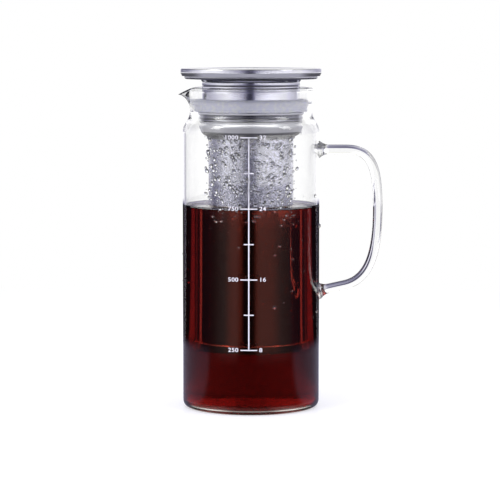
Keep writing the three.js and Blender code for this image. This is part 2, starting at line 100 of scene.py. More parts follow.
class Sheet:
    """Adds nodes to one tree and joins their sockets."""

    def __init__(self, tree: Tree) -> None:
        """Keeps the tree that the nodes go into."""
        self.tree = tree

    def put(self, socket: Socket, value: Value) -> None:
        """Links a socket to another, or sets its own value.

        Args:
            socket: an input socket.
            value: an output socket or a constant.
        """
        if isinstance(value, Socket):
            self.tree.links.new(value, socket)
        else:
            socket.default_value = (*value, 1.0) if socket.type == "RGBA" else value

    def node(
        self, kind: str, settings: dict[str, object] | None = None, **inputs: Value
    ) -> Node:
        """Adds a node.

        Args:
            kind: the node's type name.
            settings: attributes of the node, set before its sockets.
            inputs: values by socket name, with underscores for spaces.

        Returns:
            The new node.
        """
        made = self.tree.nodes.new(kind)
        for name, value in (settings or {}).items():
            setattr(made, name, value)
        for name, value in inputs.items():
            self.put(made.inputs[name.replace("_", " ")], value)
        return made

    def math(self, operation: str, *values: Value, clamp: bool = False) -> Socket:
        """Adds a Math node.

        Args:
            operation: what it does.
            values: its operands in order.
            clamp: whether its result is held between 0 and 1.

        Returns:
            The result's socket.
        """
        made = self.node("ShaderNodeMath", {"operation": operation, "use_clamp": clamp})
        for socket, value in zip(made.inputs, values):
            self.put(socket, value)
        return made.outputs[0]

    def times(self, *values: Value) -> Socket:
        """Multiplies values in order."""
        return reduce(lambda first, second: self.math("MULTIPLY", first, second), values)

    def most(self, *values: Value) -> Socket:
        """Gives the largest of some values."""
        return reduce(lambda first, second: self.math("MAXIMUM", first, second), values)

    def linear(self, value: Value, slope: Value, start: Value) -> Socket:
        """Multiplies a value by a slope and adds a start."""
        return self.math("MULTIPLY_ADD", value, slope, start)

    def fade(self, mask: Value, share: float) -> Socket:
        """Gives 1 outside a mask and a share of it inside."""
        return self.linear(mask, share - 1.0, 1.0)

    def between(
        self, value: Value, low: float, high: float, at_low: float = 0.0, at_high: float = 1.0
    ) -> Socket:
        """Maps a range smoothly to another and holds its ends.

        Args:
            value: what is mapped.
            low: the value that gives at_low.
            high: the value that gives at_high.
            at_low: the result at low.
            at_high: the result at high.

        Returns:
            The result's socket.
        """
        made = self.node("ShaderNodeMapRange", {"interpolation_type": "SMOOTHSTEP"}, Value=value)
        names = ("From Min", "From Max", "To Min", "To Max")
        for name, number in zip(names, (low, high, at_low, at_high)):
            made.inputs[name].default_value = number
        return made.outputs["Result"]

    def window(self, value: Value, low: float, high: float, soft: float) -> Socket:
        """Masks what lies between two values, with a soft edge inside each of them."""
        rise = self.between(value, low, low + soft)
        return self.times(rise, self.between(value, high, high - soft))

    def ramp(self, factor: Value, stops: Sequence[Point]) -> Socket:
        """Adds a grey Color Ramp.

        Args:
            factor: what the ramp reads.
            stops: pairs of position and grey value.

        Returns:
            The ramp's colour socket.
        """
        made = self.node("ShaderNodeValToRGB", Fac=factor)
        elements = made.color_ramp.elements
        while len(elements) < len(stops):
            elements.new(0.5)
        for element, (position, grey) in zip(elements, stops):
            element.position = position
            element.color = (grey, grey, grey, 1.0)
        return made.outputs["Color"]

    def feed(self, made: Node, first: int, *values: Value) -> Node:
        """Fills neighbouring inputs of a node, for inputs that share a name.

        Args:
            made: the node.
            first: place of the first input among the node's inputs.
            values: their values in order.

        Returns:
            The node.
        """
        for index, value in enumerate(values):
            self.put(made.inputs[first + index], value)
        return made

    def mix(self, factor: Value, first: Value, second: Value) -> Socket:
        """Mixes two colours.

        Args:
            factor: share of the second colour.
            first: colour or socket.
            second: colour or socket.

        Returns:
            The mixed colour's socket.
        """
        made = self.node("ShaderNodeMix", {"data_type": "RGBA"})
        self.put(made.inputs[0], factor)
        return self.feed(made, 6, first, second).outputs[2]

    def blend(self, factor: Value, first: Socket, second: Socket) -> Socket:
        """Mixes two shaders by the second one's share."""
        return self.feed(self.node("ShaderNodeMixShader"), 0, factor, first, second).outputs[0]

    def glow(self, colour: Value) -> Socket:
        """Adds a shader that gives off light."""
        return self.node("ShaderNodeEmission", Color=colour, Strength=1.0).outputs[0]

    def place(self, kind: str = "Object") -> Socket:
        """Gives texture coordinates, by default the object's own, in metres in the frame."""
        return self.node("ShaderNodeTexCoord").outputs[kind]

    def axes(self, vector: Value) -> Outputs:
        """Splits a vector into X, Y and Z."""
        return self.node("ShaderNodeSeparateXYZ", Vector=vector).outputs

    def xyz(self, **parts: Value) -> Socket:
        """Makes a vector from X, Y and Z."""
        return self.node("ShaderNodeCombineXYZ", **parts).outputs[0]

    def noise(self, place: Value, scale: Value, detail: float) -> Socket:
        """Adds a noise over a place."""
        made = self.node("ShaderNodeTexNoise", Vector=place, Scale=scale, Detail=detail)
        return made.outputs["Fac"]

    def bump(self, height: Value, distance: float, strength: float = 1.0) -> Socket:
        """Turns a height into a normal."""
        made = self.node("ShaderNodeBump", Height=height, Distance=distance, Strength=strength)
        return made.outputs["Normal"]

    def group(self, tree: Tree, **inputs: Value) -> Outputs:
        """Places a node group with its own values and gives its outputs."""
        return self.node("ShaderNodeGroup", {"node_tree": tree}, **inputs).outputs


Filler = Callable[[Sheet, Outputs], dict[str, Socket]]


def shared(**numbers: float) -> Callable[[Filler], Callable[[], Tree]]:
    """Makes the function below it fill a shader node group of its own name.

    That function takes the group's sheet and inputs and gives its outputs by name. Afterwards its
    name is called without them, which builds the group or finds it again.

    Args:
        numbers: defaults of the group's inputs by name, after the one named Vector.

    Returns:
        The decorator.
    """

    def kept(fill: Filler) -> Callable[[], Tree]:
        """Keeps the function that fills the group.

        Args:
            fill: adds its nodes.

        Returns:
            The function that gives the group.
        """

        def group() -> Tree:
            """Builds the group, or finds it again.

            Returns:
                The group's tree.
            """
            known = bpy.data.node_groups.get(fill.__name__)
            if known is not None:
                return known
            tree = bpy.data.node_groups.new(fill.__name__, "ShaderNodeTree")
            face = tree.interface
            face.new_socket(name="Vector", in_out="INPUT", socket_type="NodeSocketVector")
            for label, default in numbers.items():
                socket = face.new_socket(name=label, in_out="INPUT", socket_type="NodeSocketFloat")
                socket.default_value = default
            sheet = Sheet(tree)
            results = fill(sheet, tree.nodes.new("NodeGroupInput").outputs)
            for label in results:
                face.new_socket(name=label, in_out="OUTPUT", socket_type="NodeSocketFloat")
            out = tree.nodes.new("NodeGroupOutput")
            for label, result in results.items():
                sheet.put(out.inputs[label], result)
            return tree

        return group

    return kept


@shared(Lines=4000.0)
def spun_lines(sheet: Sheet, given: Outputs) -> dict[str, Socket]:
    """Fine lines that run round the axis, as a spun surface has, and faint clouding.

    Args:
        sheet: the group's sheet.
        given: its inputs.

    Returns:
        Its outputs by name.
    """
    place = sheet.axes(given["Vector"])
    squares = (sheet.times(place[axis], place[axis]) for axis in ("X", "Y"))
    radius = sheet.math("SQRT", sheet.math("ADD", *squares))
    angle = sheet.math("ARCTAN2", place["Y"], place["X"])
    drawn = sheet.xyz(
        X=sheet.times(radius, given["Lines"]),
        Y=sheet.times(place["Z"], given["Lines"]),
        Z=sheet.math("SINE", sheet.times(angle, 2.0)),
    )
    return {
        "Height": sheet.linear(sheet.noise(drawn, 0.13, 2.0), 0.5, sheet.noise(drawn, 1.0, 3.0)),
        "Cloud": sheet.between(sheet.noise(given["Vector"], 34.0, 3.0), 0.35, 0.7),
    }


@shared(Pitch=0.0005, Wire=0.3)
def woven_wire(sheet: Sheet, given: Outputs) -> dict[str, Socket]:
    """Plain weave of round wires, over and under by turns, from places along the cloth.

    Args:
        sheet: the group's sheet.
        given: its inputs.

    Returns:
        Its outputs by name.
    """
    place = sheet.axes(given["Vector"])
    across, along = (sheet.math("DIVIDE", place[axis], given["Pitch"]) for axis in ("X", "Y"))
    cells = (sheet.math("FLOOR", run) for run in (across, along))
    over = sheet.times(sheet.math("FRACT", sheet.times(sheet.math("ADD", *cells), 0.5)), 2.0)

    def wire(run: Socket, cross: Socket, side: Socket) -> Socket:
        """Height of one set of wires: round across the wire, waved along it.

        Args:
            run: place across the wires, in pitches.
            cross: place along the wires, in pitches.
            side: 1 where these wires lie over the others.

        Returns:
            The height's socket.
        """
        centre = sheet.math("ABSOLUTE", sheet.math("SUBTRACT", sheet.math("FRACT", run), 0.5))
        inside = sheet.math("SUBTRACT", given["Wire"], centre)
        crown = sheet.math("DIVIDE", inside, given["Wire"], clamp=True)
        wave = sheet.math("SINE", sheet.times(sheet.math("FRACT", cross), math.pi))
        lift = sheet.linear(sheet.times(wave, side), 0.5, 0.5)
        return sheet.times(sheet.math("POWER", crown, 0.5), lift)

    under = sheet.math("SUBTRACT", 1.0, over)
    height = sheet.most(wire(across, along, over), wire(along, across, under))
    return {"Height": height, "Gap": sheet.between(height, 0.18, 0.02)}


@shared(Scale=40.0)
def drawn_film(sheet: Sheet, given: Outputs) -> dict[str, Socket]:
    """Faint waviness, as drawn glass and poured rubber have, longer along the axis.

    Args:
        sheet: the group's sheet.
        given: its inputs.

    Returns:
        Its outputs by name.
    """
    drawn = sheet.node("ShaderNodeMapping", Vector=given["Vector"], Scale=(1.0, 1.0, 0.35))
    return {"Height": sheet.noise(drawn.outputs[0], given["Scale"], 1.5)}


@shared(Level=0.128, Creep=0.002)
def wet_below(sheet: Sheet, given: Outputs) -> dict[str, Socket]:
    """Mask of what stands in the drink, with an uneven tide line.

    Args:
        sheet: the group's sheet.
        given: its inputs.

    Returns:
        Its outputs by name.
    """
    ragged = sheet.noise(given["Vector"], 160.0, 2.0)
    edge = sheet.linear(ragged, given["Creep"], given["Level"])
    depth = sheet.math("SUBTRACT", edge, sheet.axes(given["Vector"])["Z"])
    return {"Wet": sheet.between(depth, -0.0005, 0.001)}


# Brightness by bearing in degrees, 0 on the camera's side and 180 straight behind the object, in
# rings of cards from near the object's foot to the sky; left side first, then right.
CARDS = {
    "Near": (
        [(0, 0.02), (118, 0.03), (150, 0.14), (160, 0.22), (172, 0.6)],
        [(0, 0.02), (118, 0.03), (146, 0.2), (158, 0.3), (172, 0.6)],
    ),
    "Low": (
        [(0, 0.01), (17, 0.01), (25, 0.16), (46, 0.16), (66, 0.04), (142, 0.02), (145, 0.9),
         (152, 0.9), (156, 0.08), (168, 0.08), (174, 0.4)],
        [(0, 0.01), (6, 0.02), (14, 0.15), (50, 0.15), (76, 0.05), (143, 0.03), (146, 0.9),
         (152, 0.9), (156, 0.08), (168, 0.08), (174, 0.3)],
    ),
    "Middle": (
        [(0, 0.05), (7, 0.12), (16, 2.0), (45, 2.3), (62, 1.1), (84, 0.35), (110, 0.12),
         (150, 0.12), (160, 0.8)],
        [(0, 0.05), (6, 0.3), (12, 2.7), (24, 3.6), (60, 3.0), (84, 1.8), (120, 1.0), (160, 1.0)],
    ),
    "High": (
        [(0, 0.02), (9, 0.045), (13, 0.1), (22, 0.39), (32, 0.62), (42, 0.9), (52, 1.1), (63, 1.0),
         (75, 0.92), (86, 0.85), (100, 0.72), (118, 0.55), (137, 0.4), (165, 0.4), (172, 1)],
        [(0, 0.03), (2, 0.03), (5, 0.12), (8, 0.24), (16, 0.42), (26, 0.63), (36, 0.82), (46, 1.0),
         (67, 1.05), (92, 0.95), (107, 0.72), (124, 0.55), (165, 0.5), (172, 1)],
    ),
    "Sky": (
        [(0, 0.1), (5, 0.12), (18, 0.33), (32, 0.5), (44, 0.7), (52, 1.2), (60, 1.5), (84, 1.4),
         (94, 0.85), (116, 0.4), (130, 0.2), (160, 0.12), (172, 1.1)],
        [(0, 0.1), (3, 0.12), (8, 0.28), (21, 0.42), (35, 0.58), (49, 0.78), (88, 1.0),
         (100, 0.85), (109, 0.68), (136, 0.42), (162, 0.6), (172, 1.0)],
    ),
}


@shared()
def studio_cards(sheet: Sheet, given: Outputs) -> dict[str, Socket]:
    """Brightness of each ring of cards by bearing, and masks of what lies behind.

    Args:
        sheet: the group's sheet.
        given: its inputs.

    Returns:
        Its outputs by name.
    """
    place = sheet.axes(given["Vector"])
    aside = sheet.math("ABSOLUTE", place["X"])
    bearing = sheet.math("ARCTAN2", aside, sheet.times(place["Y"], -1.0))
    share = sheet.math("DIVIDE", bearing, math.pi)
    degrees = sheet.times(share, 180.0)
    on_right = sheet.between(place["X"], -0.0001, 0.0001)
    results = {}
    for name, sides in CARDS.items():
        left, right = (sheet.ramp(share, [(d / 180, v) for d, v in side]) for side in sides)
        results[name] = sheet.mix(on_right, left, right)
    results["Behind"] = sheet.between(degrees, 124, 138)
    results["Straight Behind"] = sheet.between(degrees, 154, 163)
    results["Beside"] = sheet.between(degrees, 100, 85)
    results["Edge"] = sheet.window(degrees, 134, 158, 5)
    return results


# Finishes


@dataclass(frozen=True)
class Finish:
    """A finish, which is one Principled material."""

    name: str

    def material(self) -> Material:
        """Builds the material from what the finish asks of its Principled node.

        Returns:
            The new material.
        """
        made = bpy.data.materials.new(self.name)
        made.use_nodes = True
        sheet = Sheet(made.node_tree)
        shader = made.node_tree.nodes["Principled BSDF"]
        for socket, value in self.look(sheet).items():
            sheet.put(shader.inputs[socket], value)
        return made

    def look(self, sheet: Sheet) -> dict[str, Value]:
        """Gives the Principled node's values by socket name, with their nodes on the sheet."""
        raise NotImplementedError


@dataclass(frozen=True)
class Clear(Finish):
    """Clear glass or water, with a faint waviness where it has one."""

    ior: float
    wave_scale: float = 0.0
    wave_depth: float = 0.0

    def look(self, sheet: Sheet) -> dict[str, Value]:
        """Gives a smooth and colourless surface that light passes.

        Args:
            sheet: the material's sheet, for the nodes that the values need.

        Returns:
            The Principled node's values by socket name.
        """
        values = {"Base Color": WHITE, "Roughness": 0.0, "IOR": self.ior}
        values["Transmission Weight"] = 1.0
        if self.wave_depth > 0:
            film = sheet.group(drawn_film(), Vector=sheet.place(), Scale=self.wave_scale)
            values["Normal"] = sheet.bump(film["Height"], self.wave_depth)
        return values


@dataclass(frozen=True)
class Brew(Clear):
    """Strong cold brew, clear enough to see the basket through a finger's width of it."""

    density: float = 86.0
    kept: Colour = (0.642, 0.05, 0.0)

    def material(self) -> Material:
        """Adds the colour that deepens with the drink's depth.

        Returns:
            The material with that colour in its volume.
        """
        made = super().material()
        sheet = Sheet(made.node_tree)
        volume = sheet.node("ShaderNodeVolumeAbsorption", Color=self.kept, Density=self.density)
        sheet.put(made.node_tree.nodes["Material Output"].inputs["Volume"], volume.outputs[0])
        return made


@dataclass(frozen=True)
class DullBandWithPaintedLight:
    """Duller band of a steel piece between two heights in metres, used for a painted highlight and
    for a brushed hem, with painted shade that darkens it towards its ends along X.
    """

    bottom: float
    top: float
    metallic: float
    colour: Colour
    painted_end_shade: float = 1.0
    ends: Point = (0.029, 0.037)
    edge: float = 0.0001
    rougher: float = 0.2

    def cover(self, sheet: Sheet, values: dict[str, Value], metallic: float) -> None:
        """Changes a finish's values inside the band.

        Args:
            sheet: the material's sheet.
            values: the finish's values by socket name.
            metallic: the finish's metallic value outside the band.
        """
        place = sheet.axes(sheet.place())
        dull = sheet.window(place["Z"], self.bottom - self.edge, self.top + self.edge, self.edge)
        colour: Value = self.colour
        # Painted shade: the band's colour falls to a share of itself towards its ends along X,
        # standing in for the dark surroundings that those ends reflect.
        if self.painted_end_shade < 1:
            across = sheet.between(sheet.math("ABSOLUTE", place["X"]), *self.ends)
            colour = sheet.mix(across, self.colour, scaled(self.colour, self.painted_end_shade))
        values["Base Color"] = sheet.mix(dull, values["Base Color"], colour)
        values["Metallic"] = sheet.linear(dull, self.metallic - metallic, metallic)
        values["Roughness"] = sheet.linear(dull, self.rougher, values["Roughness"])


@dataclass(frozen=True)
class Steel(Finish):
    """Stainless steel, turned or drawn, with lines round the axis and faint clouding."""

    colour: Colour
    roughness: float
    lines: float
    depth: float
    grain: float = 0.5
    metallic: float = 1.0
    cloud_share: float = 0.88
    cloud_roughness: float = 0.08
    wet_level: float = 0.0
    wet_share: float = 0.75
    creep: float = 0.0015
    painted_shade_level: float = 0.0
    painted_shade_width: float = 0.0006
    painted_shade_share: float = 0.2
    band: DullBandWithPaintedLight | None = None

    def look(self, sheet: Sheet) -> dict[str, Value]:
        """Gives a clouded metal, darker where wet below a level, and darkened with painted shade
        below another height, where it has them.

        Args:
            sheet: the material's sheet, for the nodes that the values need.

        Returns:
            The Principled node's values by socket name.
        """
        place = sheet.place()
        lines = sheet.group(spun_lines(), Vector=place, Lines=self.lines)
        colour = sheet.mix(lines["Cloud"], self.colour, scaled(self.colour, self.cloud_share))
        if self.wet_level > 0:
            wet = sheet.group(wet_below(), Vector=place, Level=self.wet_level, Creep=self.creep)
            colour = sheet.mix(wet["Wet"], colour, scaled(self.colour, self.wet_share))
        # Painted shade: below this height the colour falls to a share of itself, standing in for
        # the shade in the crevice where the piece meets the next one.
        if self.painted_shade_level > 0:
            height, level = sheet.axes(place)["Z"], self.painted_shade_level
            painted_shade = sheet.between(height, level + self.painted_shade_width, level)
            colour = sheet.mix(painted_shade, colour, scaled(self.colour, self.painted_shade_share))
        values = {
            "Base Color": colour,
            "Metallic": self.metallic,
            "Roughness": sheet.linear(lines["Cloud"], self.cloud_roughness, self.roughness),
            "Anisotropic": self.grain,
            "Normal": sheet.bump(lines["Height"], self.depth),
        }
        if self.band is not None:
            self.band.cover(sheet, values, self.metallic)
        return values


@dataclass(frozen=True)
class WireMesh(Finish):
    """Fine woven steel, bright above the drink and stained dark in it."""

    level: float
    colour: Colour = (0.87, 0.87, 1.0)
    stained: Colour = (0.9, 0.7, 0.5)
    shadow: Colour = (0.03, 0.03, 0.035)
    pitch: float = 0.00055
    wire: float = 0.34
    roughness: float = 0.19
    wet_roughness: float = 0.05

    def look(self, sheet: Sheet) -> dict[str, Value]:
        """Gives woven wires with painted shadow in the gaps between them, whose relief the drink
        hides.

        Args:
            sheet: the material's sheet, for the nodes that the values need.

        Returns:
            The Principled node's values by socket name.
        """
        place = sheet.place()
        cloth = sheet.place("UV")
        weave = sheet.group(woven_wire(), Vector=cloth, Pitch=self.pitch, Wire=self.wire)
        wet = sheet.group(wet_below(), Vector=place, Level=self.level, Creep=0.002)["Wet"]
        speckle = sheet.between(sheet.noise(place, 700.0, 4.0), 0.42, 0.62)
        dry = sheet.mix(speckle, scaled(self.colour, 0.7), self.colour)
        colour = sheet.mix(wet, dry, self.stained)
        # Painted shadow: the gaps between the wires take the shadow colour, less deep under the
        # drink.
        gap = sheet.times(weave["Gap"], sheet.linear(wet, -0.4, 0.8))
        relief = sheet.times(weave["Height"], sheet.linear(wet, -0.95, 1.0))
        return {
            "Base Color": sheet.mix(gap, colour, self.shadow),
            "Metallic": 1.0,
            "Roughness": sheet.linear(wet, self.wet_roughness - self.roughness, self.roughness),
            "Normal": sheet.bump(relief, 0.00008, 0.5),
        }


@dataclass(frozen=True)
class Silicone(Finish):
    """Translucent grey silicone with a soft sheen."""

    colour: Colour = (0.86, 0.87, 1.0)
    roughness: float = 0.42

    def look(self, sheet: Sheet) -> dict[str, Value]:
        """Gives a dusty surface that light enters a little way.

        Args:
            sheet: the material's sheet, for the nodes that the values need.

        Returns:
            The Principled node's values by socket name.
        """
        place = sheet.place()
        dust = sheet.noise(place, 420.0, 4.0)
        pale = scaled(self.colour, 1.12)
        film = sheet.group(drawn_film(), Vector=place, Scale=120.0)
        return {
            "Base Color": sheet.mix(sheet.between(dust, 0.4, 0.7), self.colour, pale),
            "Roughness": sheet.linear(dust, 0.12, self.roughness),
            "Subsurface Weight": 0.18,
            "Subsurface Radius": (0.004, 0.004, 0.005),
            "Specular IOR Level": 0.45,
            "Normal": sheet.bump(film["Height"], 0.00003),
        }


@dataclass(frozen=True)
class Plastic(Finish):
    """Fine moulded plastic of the lid's plug."""

    colour: Colour = (0.62, 0.62, 0.64)

    def look(self, sheet: Sheet) -> dict[str, Value]:
        """Gives a fine grain.

        Args:
            sheet: the material's sheet, for the nodes that the values need.

        Returns:
            The Principled node's values by socket name.
        """
        grain = sheet.noise(sheet.place(), 2400.0, 2.0)
        return {
            "Base Color": sheet.mix(grain, self.colour, scaled(self.colour, 0.93)),
            "Roughness": sheet.linear(grain, 0.1, 0.38),
            "Normal": sheet.bump(grain, 0.00002, 0.6),
        }


@dataclass(frozen=True)
class ScaleInk(Finish):
    """White enamel print, fired on the glass, with pinholes in it."""

    colour: Colour = (0.9, 0.88, 0.97)

    def look(self, sheet: Sheet) -> dict[str, Value]:
        """Gives a print that is thinner in small spots.

        Args:
            sheet: the material's sheet, for the nodes that the values need.

        Returns:
            The Principled node's values by socket name.
        """
        thin = sheet.noise(sheet.place(), 3000.0, 3.0)
        spots = sheet.between(thin, 0.55, 0.75)
        return {
            "Base Color": sheet.mix(spots, self.colour, scaled(self.colour, 0.8)),
            "Roughness": sheet.linear(thin, 0.2, 0.35),
        }


# Meshes


class Corner(NamedTuple):
    """One corner of an outline, with the length of its rounding and the steps in it."""

    radius: float
    height: float
    round: float = 0.0
    steps: int = 5


def rounded(outline: Sequence[tuple], closed: bool) -> list[Point]:
    """Outline through corners, with their roundings.

    Args:
        outline: the corners' values in order.
        closed: whether the last corner joins the first.

    Returns:
        Points in radius and height.
    """
    points: list[Point] = []
    corners = [Corner(*values) for values in outline]
    for index, corner in enumerate(corners):
        if corner.round <= 0 or (not closed and index in (0, len(corners) - 1)):
            points.append(corner[:2])
            continue
        here = np.array(corner[:2])
        ends = []
        for other in (corners[index - 1], corners[(index + 1) % len(corners)]):
            way = np.array(other[:2]) - here
            length = float(np.hypot(*way))
            reach = min(corner.round, length * (0.5 if other.round > 0 else 0.98))
            ends.append(here + way / length * reach)
        for step in range(corner.steps + 1):
            t = step / corner.steps
            spot = ends[0] * (1 - t) ** 2 + here * 2 * t * (1 - t) + ends[1] * t**2
            points.append((float(spot[0]), float(spot[1])))
    return stiffened(points, closed)


def stiffened(points: Sequence[Point], closed: bool, edge: float = 0.12) -> list[Point]:
    """Adds a point near both ends of each long stretch, so that smooth shading stays flat there.

    Args:
        points: outline in radius and height.
        closed: whether the last point joins the first.
        edge: distance of the added points from the ends.

    Returns:
        The outline with its added points.
    """
    fine: list[Point] = []
    for index, ((r0, z0), (r1, z1)) in enumerate(zip(points, [*points[1:], points[0]])):
        fine.append((r0, z0))
        length = math.hypot(r1 - r0, z1 - z0)
        if length > 5 * edge and (closed or index < len(points) - 1):
            for share in (edge / length, 1 - edge / length):
                fine.append((r0 + (r1 - r0) * share, z0 + (z1 - z0) * share))
    return fine


def turned(
    name: str, outline: Sequence[Point], segments: int, closed: bool = True
) -> Piece:
    """Turns an outline round the Z axis.

    Args:
        name: the piece's name.
        outline: points in radius and height, out along the underside and up the outside.
        segments: facets round the axis.
        closed: whether the outline closes on itself rather than on the axis.

    Returns:
        The linked object, with a UV map in metres along and up its surface.
    """
    points = [(r * MM, z * MM) for r, z in outline]
    angles = [2 * math.pi * step / segments for step in range(segments)]
    rings: list[list[int]] = []
    vertices: list[tuple[float, float, float]] = []
    for radius, height in points:
        if radius < ON_AXIS:
            rings.append([len(vertices)] * segments)
            vertices.append((0.0, 0.0, height))
            continue
        rings.append([len(vertices) + step for step in range(segments)])
        vertices += [(radius * math.cos(a), radius * math.sin(a), height) for a in angles]
    along = [0.0]
    for (r0, z0), (r1, z1) in zip(points, points[1:] + points[:1]):
        along.append(along[-1] + math.hypot(r1 - r0, z1 - z0))
    facet = 2 * math.pi * max(r for r, _ in points) / segments
    faces: list[tuple[int, ...]] = []
    texture: list[Point] = []
    for index in range(len(points) if closed else len(points) - 1):
        low, high = rings[index], rings[(index + 1) % len(points)]
        for step in range(segments):
            after = (step + 1) % segments
            ring = [
                (low[step], step, 0), (low[after], step + 1, 0),
                (high[after], step + 1, 1), (high[step], step, 1),
            ]
            if low[0] == low[1]:
                ring.pop(1)
            elif high[0] == high[1]:
                ring.pop(2)
            faces.append(tuple(vertex for vertex, _, _ in ring))
            texture += [(facet * turn, along[index + side]) for _, turn, side in ring]
    return meshed(name, vertices, faces, texture)


def linked(name: str, data: bpy.types.ID) -> Piece:
    """Makes an object and links it to the scene.

    Args:
        name: the object's name.
        data: its mesh, curve, lamp or camera.

    Returns:
        The linked object.
    """
    made = bpy.data.objects.new(name, data)
    bpy.context.scene.collection.objects.link(made)
    return made


def settled(holder: Piece) -> Mesh:
    """Turns text or a modified mesh into a plain mesh.

    Args:
        holder: the object, which is used up.

    Returns:
        The mesh.
    """
    graph = bpy.context.evaluated_depsgraph_get()
    mesh = bpy.data.meshes.new_from_object(holder.evaluated_get(graph))
    bpy.data.objects.remove(holder)
    return mesh


def meshed(
    name: str,
    vertices: Sequence[Sequence[float]],
    faces: Sequence[Sequence[int]],
    texture: Sequence[Point] | None = None,
) -> Piece:
    """Makes and links a smooth-shaded mesh whose hard edges stay sharp.

    Args:
        name: the piece's name.
        vertices: places in metres.
        faces: corners of each face, counterclockwise from outside.
        texture: one UV pair for each corner of each face, in order.

    Returns:
        The linked object.
    """
    mesh = bpy.data.meshes.new(name)
    mesh.from_pydata(vertices, [], faces)
    mesh.validate()
    if texture is not None:
        layer = mesh.uv_layers.new(name="cloth")
        layer.data.foreach_set("uv", np.array(texture, np.float32).ravel())
    mesh.polygons.foreach_set("use_smooth", [True] * len(mesh.polygons))
    mesh.set_sharp_from_angle(angle=SMOOTH_ANGLE)
    return linked(name, mesh)


def moved(
    piece: Piece, change: Callable[[np.ndarray], np.ndarray]
) -> Piece:
    """Changes a mesh's points.

    Args:
        piece: the object.
        change: takes and gives the points as rows, in metres.

    Returns:
        The same object.
    """
    vertices = piece.data.vertices
    places = np.zeros(len(vertices) * 3, np.float32)
    vertices.foreach_get("co", places)
    changed = change(places.reshape(-1, 3).astype(float))
    vertices.foreach_set("co", changed.astype(np.float32).ravel())
    piece.data.update()
    return piece


def joined(name: str, pieces: Sequence[Piece]) -> Piece:
    """Joins meshes into one piece and uses them up.

    Args:
        name: the joined piece's name.
        pieces: the objects.

    Returns:
        The joined object.
    """
    vertices: list[tuple[float, ...]] = []
    faces: list[tuple[int, ...]] = []
    for piece in pieces:
        start = len(vertices)
        vertices += [tuple(v.co) for v in piece.data.vertices]
        faces += [tuple(start + i for i in p.vertices) for p in piece.data.polygons]
        bpy.data.objects.remove(piece)
    return meshed(name, vertices, faces)


# Geometry node trees


class GeometryTree(Sheet):
    """A Geometry Nodes tree that takes a mesh and named sizes and gives a mesh."""

    def __init__(self, name: str, numbers: dict[str, float | int]) -> None:
        """Starts the tree with its interface.

        Args:
            name: the tree's name.
            numbers: default of each named input, whole where the input is.
        """
        super().__init__(bpy.data.node_groups.new(name, "GeometryNodeTree"))
        face = self.tree.interface
        face.new_socket(name="Geometry", in_out="INPUT", socket_type="NodeSocketGeometry")
        for label, default in numbers.items():
            kind = "NodeSocketInt" if isinstance(default, int) else "NodeSocketFloat"
            socket = face.new_socket(name=label, in_out="INPUT", socket_type=kind)
            socket.default_value = default
        face.new_socket(name="Material", in_out="INPUT", socket_type="NodeSocketMaterial")
        face.new_socket(name="Geometry", in_out="OUTPUT", socket_type="NodeSocketGeometry")
        self.given = self.tree.nodes.new("NodeGroupInput").outputs
        self.out = self.tree.nodes.new("NodeGroupOutput").inputs

    def end(self, geometry: Socket) -> None:
        """Ends the tree in Realize Instances and Set Material.

        Args:
            geometry: what the tree has made.
        """
        real = self.node("GeometryNodeRealizeInstances", Geometry=geometry).outputs[0]
        smooth = self.node("GeometryNodeSetShadeSmooth", Geometry=real).outputs[0]
        painted = self.node(
            "GeometryNodeSetMaterial", Geometry=smooth, Material=self.given["Material"]
        )
        self.put(self.out["Geometry"], painted.outputs[0])

    def attribute(self, name: str) -> Socket:
        """Reads a named number of the mesh."""
        made = self.node("GeometryNodeInputNamedAttribute", {"data_type": "FLOAT"}, Name=name)
        return made.outputs["Attribute"]

    def mesh(
        self, name: str, source: Mesh, inputs: dict[str, object]
    ) -> Piece:
        """Runs the tree on a mesh and keeps the result as a plain mesh.

        Args:
            name: the piece's name.
            source: the mesh that the tree starts from.
            inputs: values by input name.

        Returns:
            The linked object, without the modifier.
        """
        holder = linked(name + "_source", source)
        modifier = holder.modifiers.new("tree", "NODES")
        modifier.node_group = self.tree
        for item in self.tree.interface.items_tree:
            if item.item_type == "SOCKET" and item.in_out == "INPUT" and item.name in inputs:
                modifier[item.identifier] = inputs[item.name]
        result = settled(holder)
        result.name = name
        return linked(name, result)


def swept_rod() -> GeometryTree:
    """Tree that sweeps a round section along a line of points, with a radius at each.

    Returns:
        The finished tree.
    """
    tree = GeometryTree("swept_rod", {"Sides": 28})
    curve = tree.node("GeometryNodeMeshToCurve", Mesh=tree.given["Geometry"])
    sides = tree.given["Sides"]
    ring = tree.node("GeometryNodeCurvePrimitiveCircle", Resolution=sides, Radius=1.0)
    sweep = tree.node(
        "GeometryNodeCurveToMesh",
        Curve=curve.outputs["Curve"],
        Profile_Curve=ring.outputs["Curve"],
        Scale=tree.attribute("rod_radius"),
        Fill_Caps=True,
    )
    tree.end(sweep.outputs["Mesh"])
    return tree


